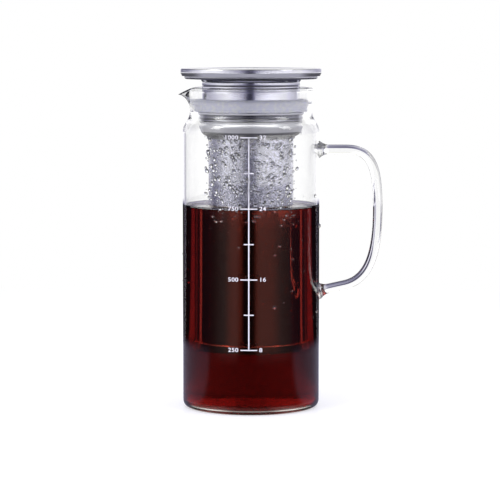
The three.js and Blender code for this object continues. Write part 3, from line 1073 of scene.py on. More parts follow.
def printed_scale() -> GeometryTree:
    """Tree that lays a vertical line and its cross strokes on a cylinder.

    Returns:
        The finished tree.
    """
    sizes = "Radius Lift Centre Foot Spacing Long Short Stroke Line Ink".split()
    tree = GeometryTree("printed_scale", {"Strokes": 7, **dict.fromkeys(sizes, 0.0)})
    given = tree.given
    column = tree.node(
        "GeometryNodeMeshLine",
        Count=given["Strokes"],
        Start_Location=tree.xyz(X=given["Centre"], Z=given["Foot"]),
        Offset=tree.xyz(Z=given["Spacing"]),
    )
    odd = tree.math("MODULO", tree.node("GeometryNodeInputIndex").outputs[0], 2.0)
    width = tree.linear(odd, tree.math("SUBTRACT", given["Short"], given["Long"]), given["Long"])
    bar = tree.node("GeometryNodeMeshCube", Size=WHITE, Vertices_X=14)
    strokes = tree.node(
        "GeometryNodeInstanceOnPoints",
        Points=column.outputs["Mesh"],
        Instance=bar.outputs["Mesh"],
        Scale=tree.xyz(X=width, Y=given["Ink"], Z=given["Stroke"]),
    )
    height = tree.times(tree.math("SUBTRACT", given["Strokes"], 1.0), given["Spacing"])
    post_size = tree.xyz(X=given["Line"], Y=given["Ink"], Z=height)
    post = tree.node("GeometryNodeMeshCube", Size=post_size, Vertices_Z=30)
    middle = tree.xyz(X=given["Centre"], Z=tree.linear(height, 0.5, given["Foot"]))
    stood = tree.node(
        "GeometryNodeTransform", Geometry=post.outputs["Mesh"], Translation=middle
    )
    both = tree.node("GeometryNodeJoinGeometry")
    for part in (strokes, stood):
        tree.put(both.inputs[0], part.outputs[0])
    flat = tree.node("GeometryNodeRealizeInstances", Geometry=both.outputs[0])
    place = tree.axes(tree.node("GeometryNodeInputPosition").outputs[0])
    angle = tree.math("DIVIDE", place["X"], given["Radius"])
    surface = tree.math("ADD", given["Radius"], given["Lift"])
    out = tree.math("SUBTRACT", surface, place["Y"])
    bent = tree.xyz(
        X=tree.times(out, tree.math("SINE", angle)),
        Y=tree.times(out, tree.math("COSINE", angle), -1.0),
        Z=place["Z"],
    )
    wrapped = tree.node("GeometryNodeSetPosition", Geometry=flat.outputs[0], Position=bent)
    tree.end(wrapped.outputs[0])
    return tree


def scattered_drops() -> GeometryTree:
    """Tree that scatters flattened drops over a surface, small ones most often.

    Returns:
        The finished tree.
    """
    sizes = {"Smallest": 0.0002, "Largest": 0.001, "Rarity": 3.0, "Flatness": 0.5, "Seed": 3}
    tree = GeometryTree("scattered_drops", {"Density": 1000.0, **sizes})
    given = tree.given
    points = tree.node(
        "GeometryNodeDistributePointsOnFaces",
        Mesh=given["Geometry"],
        Density=tree.times(tree.attribute("dew"), given["Density"]),
        Seed=given["Seed"],
    )

    def chance(low: float, high: float, offset: int) -> Socket:
        """A random number for each drop.

        Args:
            low: the least it can be.
            high: the most it can be.
            offset: seed that tells it from the other numbers.

        Returns:
            The number's socket.
        """
        made = tree.node("FunctionNodeRandomValue", {"data_type": "FLOAT"}, Seed=offset)
        for socket, value in zip((s for s in made.inputs if s.type == "VALUE"), (low, high)):
            socket.default_value = value
        return next(s for s in made.outputs if s.type == "VALUE")

    rare = tree.math("POWER", chance(0.0, 1.0, 11), given["Rarity"])
    spread = tree.math("SUBTRACT", given["Largest"], given["Smallest"])
    size = tree.linear(rare, spread, given["Smallest"])
    shape = tree.xyz(
        X=tree.times(size, chance(0.75, 1.15, 12)),
        Y=tree.times(size, chance(0.85, 1.5, 13)),
        Z=tree.times(size, given["Flatness"]),
    )
    normal = points.outputs["Normal"]
    turn = tree.node("FunctionNodeAlignRotationToVector", {"axis": "Z"}, Vector=normal)
    drop = tree.node("GeometryNodeMeshUVSphere", Segments=8, Rings=5, Radius=1.0)
    drops = tree.node(
        "GeometryNodeInstanceOnPoints",
        Points=points.outputs["Points"],
        Instance=drop.outputs["Mesh"],
        Rotation=turn.outputs[0],
        Scale=shape,
    )
    tree.end(drops.outputs[0])
    return tree


# Sub-assemblies


@dataclass(frozen=True)
class Levels:
    """Heights and radii that more than one sub-assembly keeps to, in millimetres."""

    mesh_radius: float = 27.0
    mesh_wall: float = 0.8
    mesh_bottom: float = 37.5
    mesh_top: float = 173.6
    throat_bottom: float = 171.4
    throat_top: float = 172.8
    rim_side_bottom: float = 177.0
    rim_top: float = 182.2
    clamp_bottom: float = 182.5
    clamp_top: float = 188.2
    clamp_radius: float = 33.0
    spigot_radius: float = 29.8
    spigot_top: float = 190.0
    collar_radius: float = 31.1
    collar_inner: float = 30.1
    collar_top: float = 204.6
    stopper_bottom: float = 188.5
    stopper_top: float = 196.2
    sleeve_radius: float = 31.4
    flange_radius: float = 37.0
    drink_level: float = 128.2
    gap: float = 0.3


LEVELS = Levels()


@dataclass
class SubAssembly:
    """Pieces that ride on one body of the frame."""

    body: Body

    def seat(
        self,
        piece: Piece,
        slot: Slot | None = None,
        *nodes: str,
        material: Material | None = None,
    ) -> None:
        """Dresses a piece, puts it on its body and reports it.

        Args:
            piece: the finished piece.
            slot: the record's slot of its finish, where it has one; not used.
            nodes: the solids of the frame that it stands for.
            material: its only material, where no node tree has set it.
        """
        if material is not None:
            piece.data.materials.clear()
            piece.data.materials.append(material)
        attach(piece, self.body.value)
        if nodes:
            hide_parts(*nodes)
        log.info("%s: %d faces on %s", piece.name, len(piece.data.polygons), self.body.value)

    def spin(
        self,
        name: str,
        node: str,
        slot: Slot,
        material: Material,
        outline: Sequence[tuple],
        segments: int = 160,
        closed: bool = True,
    ) -> Piece:
        """Turns a piece from its corners and seats it.

        Args:
            name: the piece's name.
            node: the solid of the frame that it stands for.
            slot: the record's slot of its finish.
            material: its only material.
            outline: its corners' values in order.
            segments: facets round the axis.
            closed: whether the outline closes on itself rather than on the axis.

        Returns:
            The piece.
        """
        piece = turned(name, rounded(outline, closed), segments, closed)
        self.seat(piece, slot, node, material=material)
        return piece


@dataclass
class Carafe(SubAssembly):
    """Blown glass body with its beak and handle, the printed scale, the drink and the dew."""

    body: Body = Body.CARAFE
    rim: float = 203.5
    neck_inner: float = 36.85
    neck_outer: float = 38.85
    neck_bottom: float = 187.0
    shoulder_bottom: float = 177.0
    body_radius: float = 43.5
    body_inner: float = 41.7
    floor: float = 2.2
    heel: float = 4.6
    inner_heel: float = 3.4
    lip_overhang: float = 0.2
    lip_height: float = 1.8
    beak_thinning: float = 0.9
    beak_reach: float = 7.5
    beak_drop: float = 4.4
    beak_width: float = 7.0
    beak_depth: float = 15.0
    beak_fade: float = 1.7
    ring_spacing: float = 1.6
    segments: int = 192
    handle_reach: float = 37.3
    handle_top: float = 164.3
    handle_bottom: float = 74.0
    handle_steps: int = 40
    rod_radius: float = 3.0
    pad_radius: float = 5.6
    pad_length: float = 6.0
    pad_root: float = 1.2
    drink_bottom: float = 1.7
    drink_radius: float = 42.1
    scale_foot: float = 41.3
    scale_spacing: float = 22.05
    scale_middle: float = -1.4
    ink_lift: float = 0.03
    ink_depth: float = 0.05
    digit_size: float = 3.6
    digit_width: float = 1.2
    digit_weight: float = 0.035
    digit_starts: Point = (-7.9, 5.0)
    glass: Material = field(init=False)

    def build(self) -> None:
        """Builds and dresses the carafe's pieces in order."""
        self.glass = Clear("clear_glass", 1.47, 36.0, 0.00002).material()
        self.wall()
        self.handle()
        self.drink()
        self.scale_lines()
        self.scale_numbers()
        self.dew()

    def section(self) -> list[Point]:
        """Outline of the glass wall, up the outside and down the inside.

        Returns:
            Points in radius and height.
        """
        lip_bottom, lip_outer = self.rim - self.lip_height, self.neck_outer + self.lip_overhang
        shoulder, neck = self.shoulder_bottom + 1.0, self.neck_bottom - 1.0
        outline = [
            (0, 0.35), (self.body_radius - 12, 0.35, 3, 4), (self.body_radius - 8, 0, 2, 4),
            (self.body_radius, 0, self.heel, 12), (self.body_radius, shoulder, 3, 8),
            (self.neck_outer, neck, 3, 8), (self.neck_outer, lip_bottom, 1.6, 6),
            (lip_outer, lip_bottom + 0.5, 0.5, 4), (lip_outer, self.rim, 0.8, 6),
            (self.neck_inner, self.rim, 0.8, 6), (self.neck_inner, neck, 3, 8),
            (self.body_inner, shoulder, 3, 8), (self.body_inner, self.floor, self.inner_heel, 10),
            (0, self.floor + 0.4),
        ]
        return rounded(outline, closed=False)

    def with_rings(self, outline: Sequence[Point]) -> list[Point]:
        """Splits the long stretches of an outline from just below the beak upwards.

        Args:
            outline: points in radius and height.

        Returns:
            The finer outline.
        """
        above = self.rim - self.beak_depth - 1
        fine: list[Point] = []
        for (r0, z0), (r1, z1) in zip(outline, outline[1:]):
            fine.append((r0, z0))
            if max(z0, z1) > above and abs(z1 - z0) > self.ring_spacing:
                parts = math.ceil(math.hypot(r1 - r0, z1 - z0) / self.ring_spacing)
                shares = [i / parts for i in range(1, parts)]
                fine += [(r0 + (r1 - r0) * share, z0 + (z1 - z0) * share) for share in shares]
        fine.append(outline[-1])
        return fine

    def beaked(self, places: np.ndarray) -> np.ndarray:
        """Pulls the lip out and down over the beak.

        Args:
            places: points in metres.

        Returns:
            The moved points.
        """
        radius = np.hypot(places[:, 0], places[:, 1])
        start = self.rim - self.beak_depth
        rise = np.clip((places[:, 2] / MM - start) / self.beak_depth, 0, None)
        angle = np.arctan2(places[:, 1], -places[:, 0])
        pull = np.exp(-np.abs(angle * self.neck_outer / self.beak_width) ** self.beak_fade)
        inside = radius < (self.neck_inner + self.neck_outer) / 2 * MM
        reach = self.beak_reach * rise**2 + self.beak_thinning * inside * np.sqrt(rise)
        scale = 1 + reach * MM * pull / np.maximum(radius, 1e-6)
        changed = places.copy()
        changed[:, :2] *= scale[:, None]
        changed[:, 2] -= self.beak_drop * MM * pull * rise**3
        return changed

    def wall(self) -> None:
        """Builds the blown wall with its beak."""
        outline = self.with_rings(self.section())
        piece = moved(turned("carafe_body", outline, self.segments, closed=False), self.beaked)
        piece.data.set_sharp_from_angle(angle=math.pi)
        self.seat(piece, Slot.GLASS, "glass_carafe", material=self.glass)

    def handle_line(self) -> list[Point]:
        """Centreline of the handle along X and Z, from the upper pad to the lower.

        Returns:
            Points in X and Z.
        """
        rise = self.handle_top - self.handle_bottom

        def at(reach: float, share: float) -> np.ndarray:
            """Point at a share of the reach and of the rise."""
            across = self.body_radius + self.handle_reach * reach
            return np.array((across, self.handle_bottom + rise * share))

        root = -self.pad_root / self.handle_reach
        stretches = [
            [at(root, 1), at(0.44, 1)],
            [at(0.44, 1), at(0.82, 1), at(1, 0.93), at(1, 0.6)],
            [at(1, 0.6), at(1, 0.33), at(0.925, 0.089), at(0.45, 0.041)],
            [at(0.45, 0.041), at(root, 0.09 * root)],
        ]
        spots = []
        for controls in stretches:
            for step in range(self.handle_steps):
                t = step / self.handle_steps
                left = controls
                while len(left) > 1:
                    left = [a * (1 - t) + b * t for a, b in zip(left, left[1:])]
                spots.append(left[0])
        return [(float(x), float(z)) for x, z in (*spots, stretches[-1][-1])]

    def handle(self) -> None:
        """Sweeps the glass rod and swells it into a pad at each end."""
        line = self.handle_line()
        source = bpy.data.meshes.new("handle_line")
        edges = [(i, i + 1) for i in range(len(line) - 1)]
        source.from_pydata([(x * MM, 0, z * MM) for x, z in line], edges, [])
        radius = source.attributes.new("rod_radius", "FLOAT", "POINT")
        for item, (x, _) in zip(radius.data, line):
            swell = max(0.0, 1 - max(0.0, x - self.body_radius) / self.pad_length) ** 2
            item.value = (self.rod_radius + (self.pad_radius - self.rod_radius) * swell) * MM
        sizes = {"Sides": 32, "Material": self.glass}
        self.seat(swept_rod().mesh("carafe_handle", source, sizes), Slot.GLASS, "glass_handle")

    def drink(self) -> None:
        """Fills the carafe to its level, with the liquid drawn up where it meets the glass."""
        level, outside = LEVELS.drink_level, self.drink_radius
        outline = [
            (0, self.drink_bottom + 0.3), (outside, self.drink_bottom, self.inner_heel, 10),
            (outside, level + 1.5), (outside - 0.5, level + 1.3, 0.2, 3),
            (outside - 0.8, level, 1.0, 6), (LEVELS.mesh_radius + 1.0, level, 0.9, 5),
            (LEVELS.mesh_radius - 0.3, level + 1.0), (0, level + 0.2),
        ]
        piece = turned("cold_brew", rounded(outline, closed=False), 160, closed=False)
        self.seat(piece, material=Brew("cold_brew", 1.33, 90.0, 0.00001).material())

    def scale_lines(self) -> None:
        """Prints the scale's line and strokes on the front of the glass."""
        sizes = {
            "Radius": self.body_radius, "Lift": self.ink_lift, "Centre": self.scale_middle,
            "Foot": self.scale_foot, "Spacing": self.scale_spacing, "Long": 10.6, "Short": 6.2,
            "Stroke": 0.7, "Line": 0.8, "Ink": self.ink_depth,
        }
        inputs = {name: size * MM for name, size in sizes.items()}
        inputs |= {"Strokes": 7, "Material": ScaleInk("scale_line_ink").material()}
        start = bpy.data.meshes.new("scale_start")
        self.seat(printed_scale().mesh("scale_lines", start, inputs))

    def digits(self, text: str, side: str, start: float, height: float) -> Piece:
        """Prints one number on the front of the glass.

        Args:
            text: the number.
            side: which end of the number is at the start.
            start: distance from the middle, along the glass.
            height: height of the number's middle.

        Returns:
            The linked object.
        """
        curve = bpy.data.curves.new("number", "FONT")
        curve.body, curve.size = text, self.digit_size * MM
        curve.extrude, curve.offset = self.ink_depth / 2 * MM, self.digit_weight * MM
        curve.space_character = 1.06
        curve.align_x, curve.align_y = side, "CENTER"

        def wrapped(places: np.ndarray) -> np.ndarray:
            """Lays flat digits on the glass.

            Args:
                places: points in metres, as the text has them.

            Returns:
                The points on the glass.
            """
            across = places[:, 0] * self.digit_width + start * MM
            angle = across / (self.body_radius * MM)
            out = (self.body_radius + self.ink_lift) * MM + places[:, 2]
            up = places[:, 1] + height * MM
            return np.stack((out * np.sin(angle), -out * np.cos(angle), up), axis=1)

        return moved(linked("number", settled(linked("number", curve))), wrapped)

    def scale_numbers(self) -> None:
        """Prints the scale's plain numbers beside its long strokes."""
        pieces = []
        for step in range(4):
            height = self.scale_foot + 2 * self.scale_spacing * step
            for unit, side, start in zip((250, 8), ("RIGHT", "LEFT"), self.digit_starts):
                pieces.append(self.digits(str(unit * (step + 1)), side, start, height))
        ink = ScaleInk("scale_number_ink").material()
        self.seat(joined("scale_numbers", pieces), material=ink)

    def dew(self) -> None:
        """Scatters drops of dew over the outside of the cold glass, most in front and above."""
        radius, level = self.body_radius * MM, LEVELS.drink_level * MM
        outline = [(self.body_radius, z) for z in np.linspace(14, 174, 81)]
        source = turned("dew_source", outline, 96, closed=False)
        x, y, z = np.array([v.co for v in source.data.vertices]).T
        front = np.clip((-y / radius - 0.765) / 0.03, 0, 1)
        above = 1 / (1 + np.exp(-(z - level) / 0.004))
        right = np.clip(x / radius, 0, 1)
        high = np.clip(z / 0.06 - 0.8, 0, 1)
        dew = 0.002 + above * front + (1 - above) * high * (0.05 * right + 0.008)
        amount = source.data.attributes.new("dew", "FLOAT", "POINT")
        amount.data.foreach_set("value", dew.astype(np.float32))
        sizes = {
            "Density": 170000.0, "Smallest": 0.35 * MM, "Largest": 1.5 * MM, "Rarity": 1.8,
            "Flatness": 0.7, "Seed": 5, "Material": Clear("water_drop", 1.33).material(),
        }
        piece = scattered_drops().mesh("glass_dew", source.data, sizes)
        bpy.data.objects.remove(source)
        self.seat(piece)


@dataclass
class Infuser(SubAssembly):
    """Steel collar with its silicone stopper and the clamp ring that holds it from below."""

    body: Body = Body.INFUSER

    def build(self) -> None:
        """Builds and dresses the infuser's pieces in order."""
        self.collar()
        self.stopper()
        self.clamp()

    def collar(self) -> None:
        """Builds the drawn collar with its rolled lip."""
        steel = Steel("bright_steel", (0.74, 0.74, 0.81), 0.05, 5200.0, 0.000002, grain=0.2)
        outer, inner = LEVELS.collar_radius, LEVELS.collar_inner
        bottom, top = LEVELS.clamp_bottom, LEVELS.collar_top
        outline = [
            (inner, bottom, 0.2, 2), (outer, bottom, 0.3, 3),
            (outer, top, 0.3, 4), (inner, top, 0.5, 4),
        ]
        self.spin("collar", "collar_tube", Slot.COLLAR_STEEL, steel.material(), outline)

    def stopper(self) -> None:
        """Builds the silicone ring: a thick band with a soft flange that wipes the neck."""
        sleeve, flange = LEVELS.sleeve_radius, LEVELS.flange_radius
        bottom, top = LEVELS.stopper_bottom, LEVELS.stopper_top
        band = sleeve + 4.3
        outline = [
            (sleeve, bottom, 0.2, 2), (band, bottom, 0.7, 4), (band + 0.1, bottom + 1.6, 0.4, 3),
            (band - 0.25, bottom + 2.0, 0.3, 3), (band + 0.1, bottom + 2.4, 0.4, 3),
            (band + 0.1, top - 4.7, 0.8, 4), (flange - 0.4, top - 3.1, 0.5, 3),
            (flange, top - 2.8, 0.3, 3), (flange, top - 1.4, 0.6, 4),
            (band - 0.6, top, 1.6, 6), (sleeve, top, 0.3, 3),
        ]
        rubber = Silicone("grey_silicone").material()
        self.spin("stopper", "stopper_ring", Slot.SILICONE, rubber, outline)

    def clamp(self) -> None:
        """Builds the clamp ring with its two rolls and the groove between them, and a painted
        highlight along its top edge.
        """
        outer, sleeve = LEVELS.clamp_radius, LEVELS.sleeve_radius
        bottom, top = LEVELS.clamp_bottom, LEVELS.clamp_top
        waist = outer - 0.6
        outline = [
            (sleeve, bottom, 0.2, 2), (outer, bottom, 0.3, 3), (outer, bottom + 1.4, 0.25, 3),
            (waist, bottom + 1.9, 0.3, 3), (waist, bottom + 2.1, 0.2, 2),
            (outer + 0.2, bottom + 2.5, 0.4, 4), (outer + 0.2, bottom + 3.1, 0.4, 4),
            (waist, bottom + 3.5, 0.3, 3), (waist, bottom + 3.9, 0.3, 3),
            (outer + 0.5, bottom + 4.3, 0.5, 5), (outer + 0.5, top - 0.4, 0.2, 3),
            (outer + 0.1, top - 0.05, 0.15, 2), (sleeve, top - 0.05, 0.2, 2),
        ]
        # Painted highlight: a pale, barely metallic band along the ring's top edge stands in for
        # the bright line that overhead light draws there.
        edge = DullBandWithPaintedLight((top - 1.2) * MM, (top + 0.5) * MM, 0.1, (0.96, 0.96, 1.0))
        steel = Steel("clamp_steel", (0.36, 0.36, 0.42), 0.1, 5200.0, 0.000004, band=edge)
        self.spin("clamp", "clamp_ring", Slot.COLLAR_STEEL, steel.material(), outline)


@dataclass
class Basket(SubAssembly):
    """Woven steel basket with its pressed rim, its seam, its base band and its floor."""

    body: Body = Body.BASKET
    rim_wall: float = 1.0
    band_bottom: float = 36.5
    band_wall: float = 0.7
    band_top: float = 42.0
    band_lip: float = 2.2
    seam_width: float = 4.0
    seam_thickness: float = 0.4
    seam_steps: int = 10
    seam_rows: int = 120
    hem_fold: float = 0.5
    hem_height: float = 3.0
    level: float = LEVELS.drink_level * MM
    stained: Material = field(init=False)

    def build(self) -> None:
        """Builds and dresses the basket's pieces in order."""
        steel = Steel(
            "stained_steel", (0.9, 0.7, 0.5), 0.08, 4200.0, 0.000003, wet_level=self.level
        )
        self.stained = steel.material()
        self.rim()
        self.sleeve()
        self.seam()
        self.band()
        self.floor()

    def rim(self) -> None:
        """Builds the pressed cup between the collar and the mesh."""
        outer, wall, spigot = LEVELS.clamp_radius, self.rim_wall, LEVELS.spigot_radius
        throat = LEVELS.mesh_radius + LEVELS.gap
        low, high = LEVELS.throat_bottom, LEVELS.throat_top
        side, top = LEVELS.rim_side_bottom, LEVELS.rim_top
        outline = [
            (throat, low, 0.15, 2), (throat + 0.8, low, 0.25, 3), (throat + 0.8, high, 0.5, 4),
            (outer - 1.8, high + 1.3, 2.6, 8), (outer, side + 1.4, 1.2, 6),
            (outer, side + 2.2, 0.4, 4), (outer - 1.0, side + 3.9, 0.2, 3),
            (outer - 1.0, side + 4.3, 0.2, 3), (outer - 0.2, side + 4.7, 0.2, 3),
            (outer - 0.2, top, 0.3, 3), (spigot, top, 0.3, 3),
            (spigot, LEVELS.spigot_top, 0.4, 4), (spigot - wall, LEVELS.spigot_top, 0.3, 3),
            (spigot - wall, top - wall, 0.3, 3), (outer - wall, top - wall, 0.3, 3),
            (outer - wall, side + wall, 2.2, 8), (throat, high + wall, 0.6, 4),
        ]
        # The cup's throat is darkened with painted shade below the seam height, where the cup
        # meets the mesh.
        steel = Steel(
            "rim_steel", (0.96, 0.96, 1.0), 0.12, 5200.0, 0.000004,
            metallic=0.3, painted_shade_level=(high + 2.6) * MM,
        )
        self.spin("basket_cup", "basket_rim", Slot.COLLAR_STEEL, steel.material(), outline)

    def sleeve(self) -> None:
        """Builds the mesh sleeve with a folded hem at each end."""
        outer = LEVELS.mesh_radius
        inner = outer - LEVELS.mesh_wall
        hem = inner - self.hem_fold
        bottom, top = LEVELS.mesh_bottom, LEVELS.mesh_top
        hem_bottom, hem_top = bottom + self.hem_height, top - self.hem_height
        outline = [
            (hem, bottom, 0.15, 2), (outer, bottom, 0.25, 3), (outer, top, 0.25, 3),
            (hem, top, 0.15, 2), (hem, hem_top, 0.3, 2), (inner, hem_top - self.hem_fold, 0.3, 2),
            (inner, hem_bottom + self.hem_fold, 0.3, 2), (hem, hem_bottom, 0.3, 2),
        ]
        cloth = WireMesh("woven_steel", self.level).material()
        self.spin("mesh_sleeve", "mesh_tube", Slot.MESH_STEEL, cloth, outline, 192)

    def seam(self) -> None:
        """Builds the lap weld down the back of the mesh, softened along both edges."""
        inner = LEVELS.mesh_radius + LEVELS.gap
        half = self.seam_width / LEVELS.mesh_radius / 2
        bottom, top = self.band_top + LEVELS.gap, LEVELS.throat_bottom - LEVELS.gap
        steps, rows = self.seam_steps, self.seam_rows
        shares = [math.sin(math.pi * i / steps) ** 0.35 for i in range(steps + 1)]
        vertices, faces = [], []
        for row in range(rows + 1):
            height = bottom + (top - bottom) * row / rows
            for thickness in (0.0, self.seam_thickness):
                for step, share in enumerate(shares):
                    angle = math.pi / 2 + half * (1 - 2 * step / steps)
                    radius = (inner + thickness * (0.25 + 0.75 * share)) * MM
                    x, y = radius * math.cos(angle), radius * math.sin(angle)
                    vertices.append((x, y, height * MM))
        ring = 2 * (steps + 1)
        loop = [*range(steps + 1), *range(ring - 1, steps, -1)]
        for start in range(0, rows * ring, ring):
            for a, b in zip(loop, loop[1:] + loop[:1]):
                faces.append((start + a, start + b, start + ring + b, start + ring + a))
        faces.append(tuple(reversed(loop)))
        faces.append(tuple(rows * ring + i for i in loop))
        piece = meshed("mesh_weld", vertices, faces)
        self.seat(piece, Slot.COLLAR_STEEL, "mesh_seam", material=self.stained)

    def band(self) -> None:
        """Builds the hoop round the basket's foot."""
        inner = LEVELS.mesh_radius + LEVELS.gap
        outer = inner + self.band_wall
        lip = LEVELS.mesh_radius - LEVELS.mesh_wall - self.band_lip
        bottom, top = self.band_bottom, self.band_top
        lip_top = bottom + self.band_wall
        outline = [
            (lip, bottom, 0.25, 3), (outer, bottom, 0.9, 6), (outer, top - 0.9, 0.3, 3),
            (outer, top, 0.3, 3), (inner, top, 0.2, 2), (inner, lip_top), (lip, lip_top, 0.25, 3),
        ]
        self.spin("basket_hoop", "base_band", Slot.COLLAR_STEEL, self.stained, outline)

    def floor(self) -> None:
        """Builds the woven floor, dished a little inside a pressed ring, with a flat UV map."""
        radius = LEVELS.mesh_radius - LEVELS.mesh_wall - self.hem_fold - LEVELS.gap
        bottom = self.band_bottom + self.band_wall + LEVELS.gap
        outline = [
            (0, bottom + 0.25), (radius - 5, bottom + 0.2, 1, 4), (radius - 4, bottom, 0.6, 4),
            (radius, bottom, 0.2, 2), (radius, bottom + 0.8, 0.2, 2),
            (radius - 4, bottom + 0.8, 0.6, 4), (radius - 5, bottom + 0.95, 1, 4),
            (0, bottom + 1.0),
        ]
        cloth = WireMesh("woven_floor", self.level).material()
        piece = self.spin("basket_floor", "base_mesh", Slot.MESH_STEEL, cloth, outline, 120, False)
        corners = np.zeros(len(piece.data.loops), np.int32)
        piece.data.loops.foreach_get("vertex_index", corners)
        flat = np.array([v.co[:2] for v in piece.data.vertices], np.float32)[corners]
        piece.data.uv_layers[0].data.foreach_set("uv", flat.ravel())


@dataclass
class Lid(SubAssembly):
    """Pressed steel lid with its closing plate, its skirt and the sealed plug under it."""

    body: Body = Body.LID
    radius: float = 44.7
    top: float = 215.7
    rim_bottom: float = 210.9
    edge: float = 1.0
    hem_height: float = 2.0
    sheet: float = 1.0
    dish: float = 0.4
    foot_radius: float = 42.2
    foot_bottom: float = 209.0
    neck_bottom: float = 204.9
    neck_top: float = 208.7
    plug_radius: float = 29.2
    plug_wall: float = 2.4
    plug_bottom: float = 192.0
    plug_floor: float = 2.0
    grooves: Point = (194.2, 199.6)
    groove_depth: float = 1.0
    groove_height: float = 2.4
    running_gap: float = 0.25
    segments: int = 192
    plug_segments: int = 144

    def build(self) -> None:
        """Builds and dresses the lid's pieces in order."""
        self.top_plate()
        self.under_plate()
        self.neck()
        self.plug()
        rubber = Silicone("seal_silicone").material()
        for groove, side in zip(self.grooves, ("lower", "upper")):
            self.seal(f"plug_seal_{side}", f"lid_seal_{side}", groove, rubber)

    def top_plate(self) -> None:
        """Builds the top plate, faintly dished, with its edge rolled over, its hem brushed and
        painted shade on the hem towards its ends along X.
        """
        inner, under = self.radius - self.sheet, self.top - self.sheet
        hem_top, low_top = self.rim_bottom + self.hem_height, self.top - self.dish
        outline = [
            (0, under - 0.35), (self.radius - 7, under - 0.35, 1.5, 3),
            (self.radius - 6, under, 1.2, 3), (inner, under, 0.6, 4),
            (inner, self.rim_bottom, 0.2, 2), (self.radius - 0.9, self.rim_bottom, 0.3, 3),
            (self.radius, hem_top, 0.3, 4), (self.radius, self.top, self.edge, 10),
            (self.radius - 6.5, self.top, 1.6, 6), (self.radius - 7.5, low_top, 1.6, 6),
            (0, low_top),
        ]
        # The hem's band is darker towards its ends along X with painted shade, where the dark
        # surroundings reflect.
        hem = DullBandWithPaintedLight(
            (self.rim_bottom - 0.5) * MM, hem_top * MM, 0.3, (0.42, 0.42, 0.48), painted_end_shade=0.3
        )
        steel = Steel("satin_steel", (0.78, 0.78, 0.84), 0.1, 3600.0, 0.000005, band=hem)
        self.disc("lid_plate", "lid_top_plate", steel, outline)

    def disc(self, name: str, node: str, steel: Steel, outline: Sequence[tuple]) -> None:
        """Turns one of the lid's two plates, which reach the axis."""
        slot, segments = Slot.LID_STEEL, self.segments
        self.spin(name, node, slot, steel.material(), outline, segments, closed=False)

    def under_plate(self) -> None:
        """Builds the dished plate that closes the lid from below."""
        tuck = self.radius - self.sheet - LEVELS.gap
        low, bottom = self.rim_bottom + LEVELS.gap, self.foot_bottom
        inner, wall = self.foot_radius - self.sheet, self.sheet
        outline = [
            (0, bottom), (self.foot_radius, bottom, 1.4, 8), (self.foot_radius, low, 0.3, 3),
            (tuck, low, 0.3, 3), (tuck, low + wall, 0.3, 3), (inner, low + wall, 0.6, 3),
            (inner, bottom + wall, 1.2, 6), (0, bottom + wall),
        ]
        steel = Steel("foot_steel", (0.5, 0.5, 0.56), 0.36, 3600.0, 0.000008, grain=0.6)
        self.disc("lid_foot", "lid_under_plate", steel, outline)

    def neck(self) -> None:
        """Builds the short skirt that meets the collar's lip."""
        outer, inner = LEVELS.collar_radius, LEVELS.collar_inner
        bottom, top = self.neck_bottom, self.neck_top
        outline = [
            (inner, bottom, 0.2, 2), (outer + 0.15, bottom, 0.2, 3),
            (outer + 0.15, bottom + 0.3, 0.15, 2), (outer, bottom + 0.5, 0.2, 2),
            (outer, top - 1.5, 0.4, 4), (outer + 0.9, top - 0.2, 0.3, 4),
            (outer + 0.9, top, 0.1, 2), (inner, top, 0.2, 2),
        ]
        steel = Steel("neck_steel", (0.62, 0.62, 0.7), 0.08, 5200.0, 0.000003).material()
        self.spin("lid_skirt", "lid_neck", Slot.COLLAR_STEEL, steel, outline, self.segments)

    def plug(self) -> None:
        """Builds the moulded cup that enters the collar, with its two grooves."""
        outer, bottom, top = self.plug_radius, self.plug_bottom, self.neck_top
        inner, floor = outer - self.plug_wall, bottom + self.plug_floor
        outline = [(0, bottom), (outer, bottom, 2.2, 8)]
        for low in self.grooves:
            deep, high = outer - self.groove_depth, low + self.groove_height
            groove = ((outer, low), (deep, low), (deep, high), (outer, high))
            outline += [(radius, height, 0.2, 3) for radius, height in groove]
        outline += [
            (outer, top, 0.3, 3), (inner, top, 0.3, 3), (inner, floor, 1.2, 5), (0, floor)
        ]
        plastic = Plastic("pale_plastic").material()
        self.spin(
            "plug_cup", "lid_plug", Slot.PLUG_PLASTIC, plastic, outline, self.plug_segments, False
        )

    def seal(self, name: str, node: str, groove: float, rubber: Material) -> None:
        """Builds one seal ring, crowned where it wipes the collar.

        Args:
            name: the piece's name.
            node: the solid that it stands for.
            groove: height of the foot of its groove.
            rubber: its material.
        """
        inner = self.plug_radius - self.groove_depth + LEVELS.gap
        outer = LEVELS.collar_inner - self.running_gap
        bottom, top = groove + LEVELS.gap, groove + self.groove_height - LEVELS.gap
        outline = [
            (inner, bottom, 0.15, 2), (self.plug_radius, bottom, 0.3, 4),
            (outer, (bottom + top) / 2, 0.5, 6), (self.plug_radius, top, 0.3, 4),
            (inner, top, 0.15, 2),
        ]
        self.spin(name, node, Slot.SILICONE, rubber, outline, self.plug_segments)


# Studio


class Rays:
    """Masks of the kinds of rays that reach the studio."""

    def __init__(self, sheet: Sheet) -> None:
        """Adds the masks.

        Args:
            sheet: the tree that they go into.
        """
        light = sheet.node("ShaderNodeLightPath").outputs
        self.camera = light["Is Camera Ray"]
        self.length = light["Ray Length"]
        self.surfaces = light["Transmission Depth"]
        self.refracted = light["Is Transmission Ray"]
        glossy = light["Is Glossy Ray"]
        self.mirrored = sheet.math("SUBTRACT", glossy, self.refracted, clamp=True)
        unmirrored = sheet.math("LESS_THAN", light["Glossy Depth"], 0.5)
        self.straight = sheet.times(self.refracted, unmirrored)
        undimmed = sheet.between(light["Diffuse Depth"], 1.0, 0.0)
        self.sharp = sheet.times(sheet.most(glossy, self.refracted), undimmed)


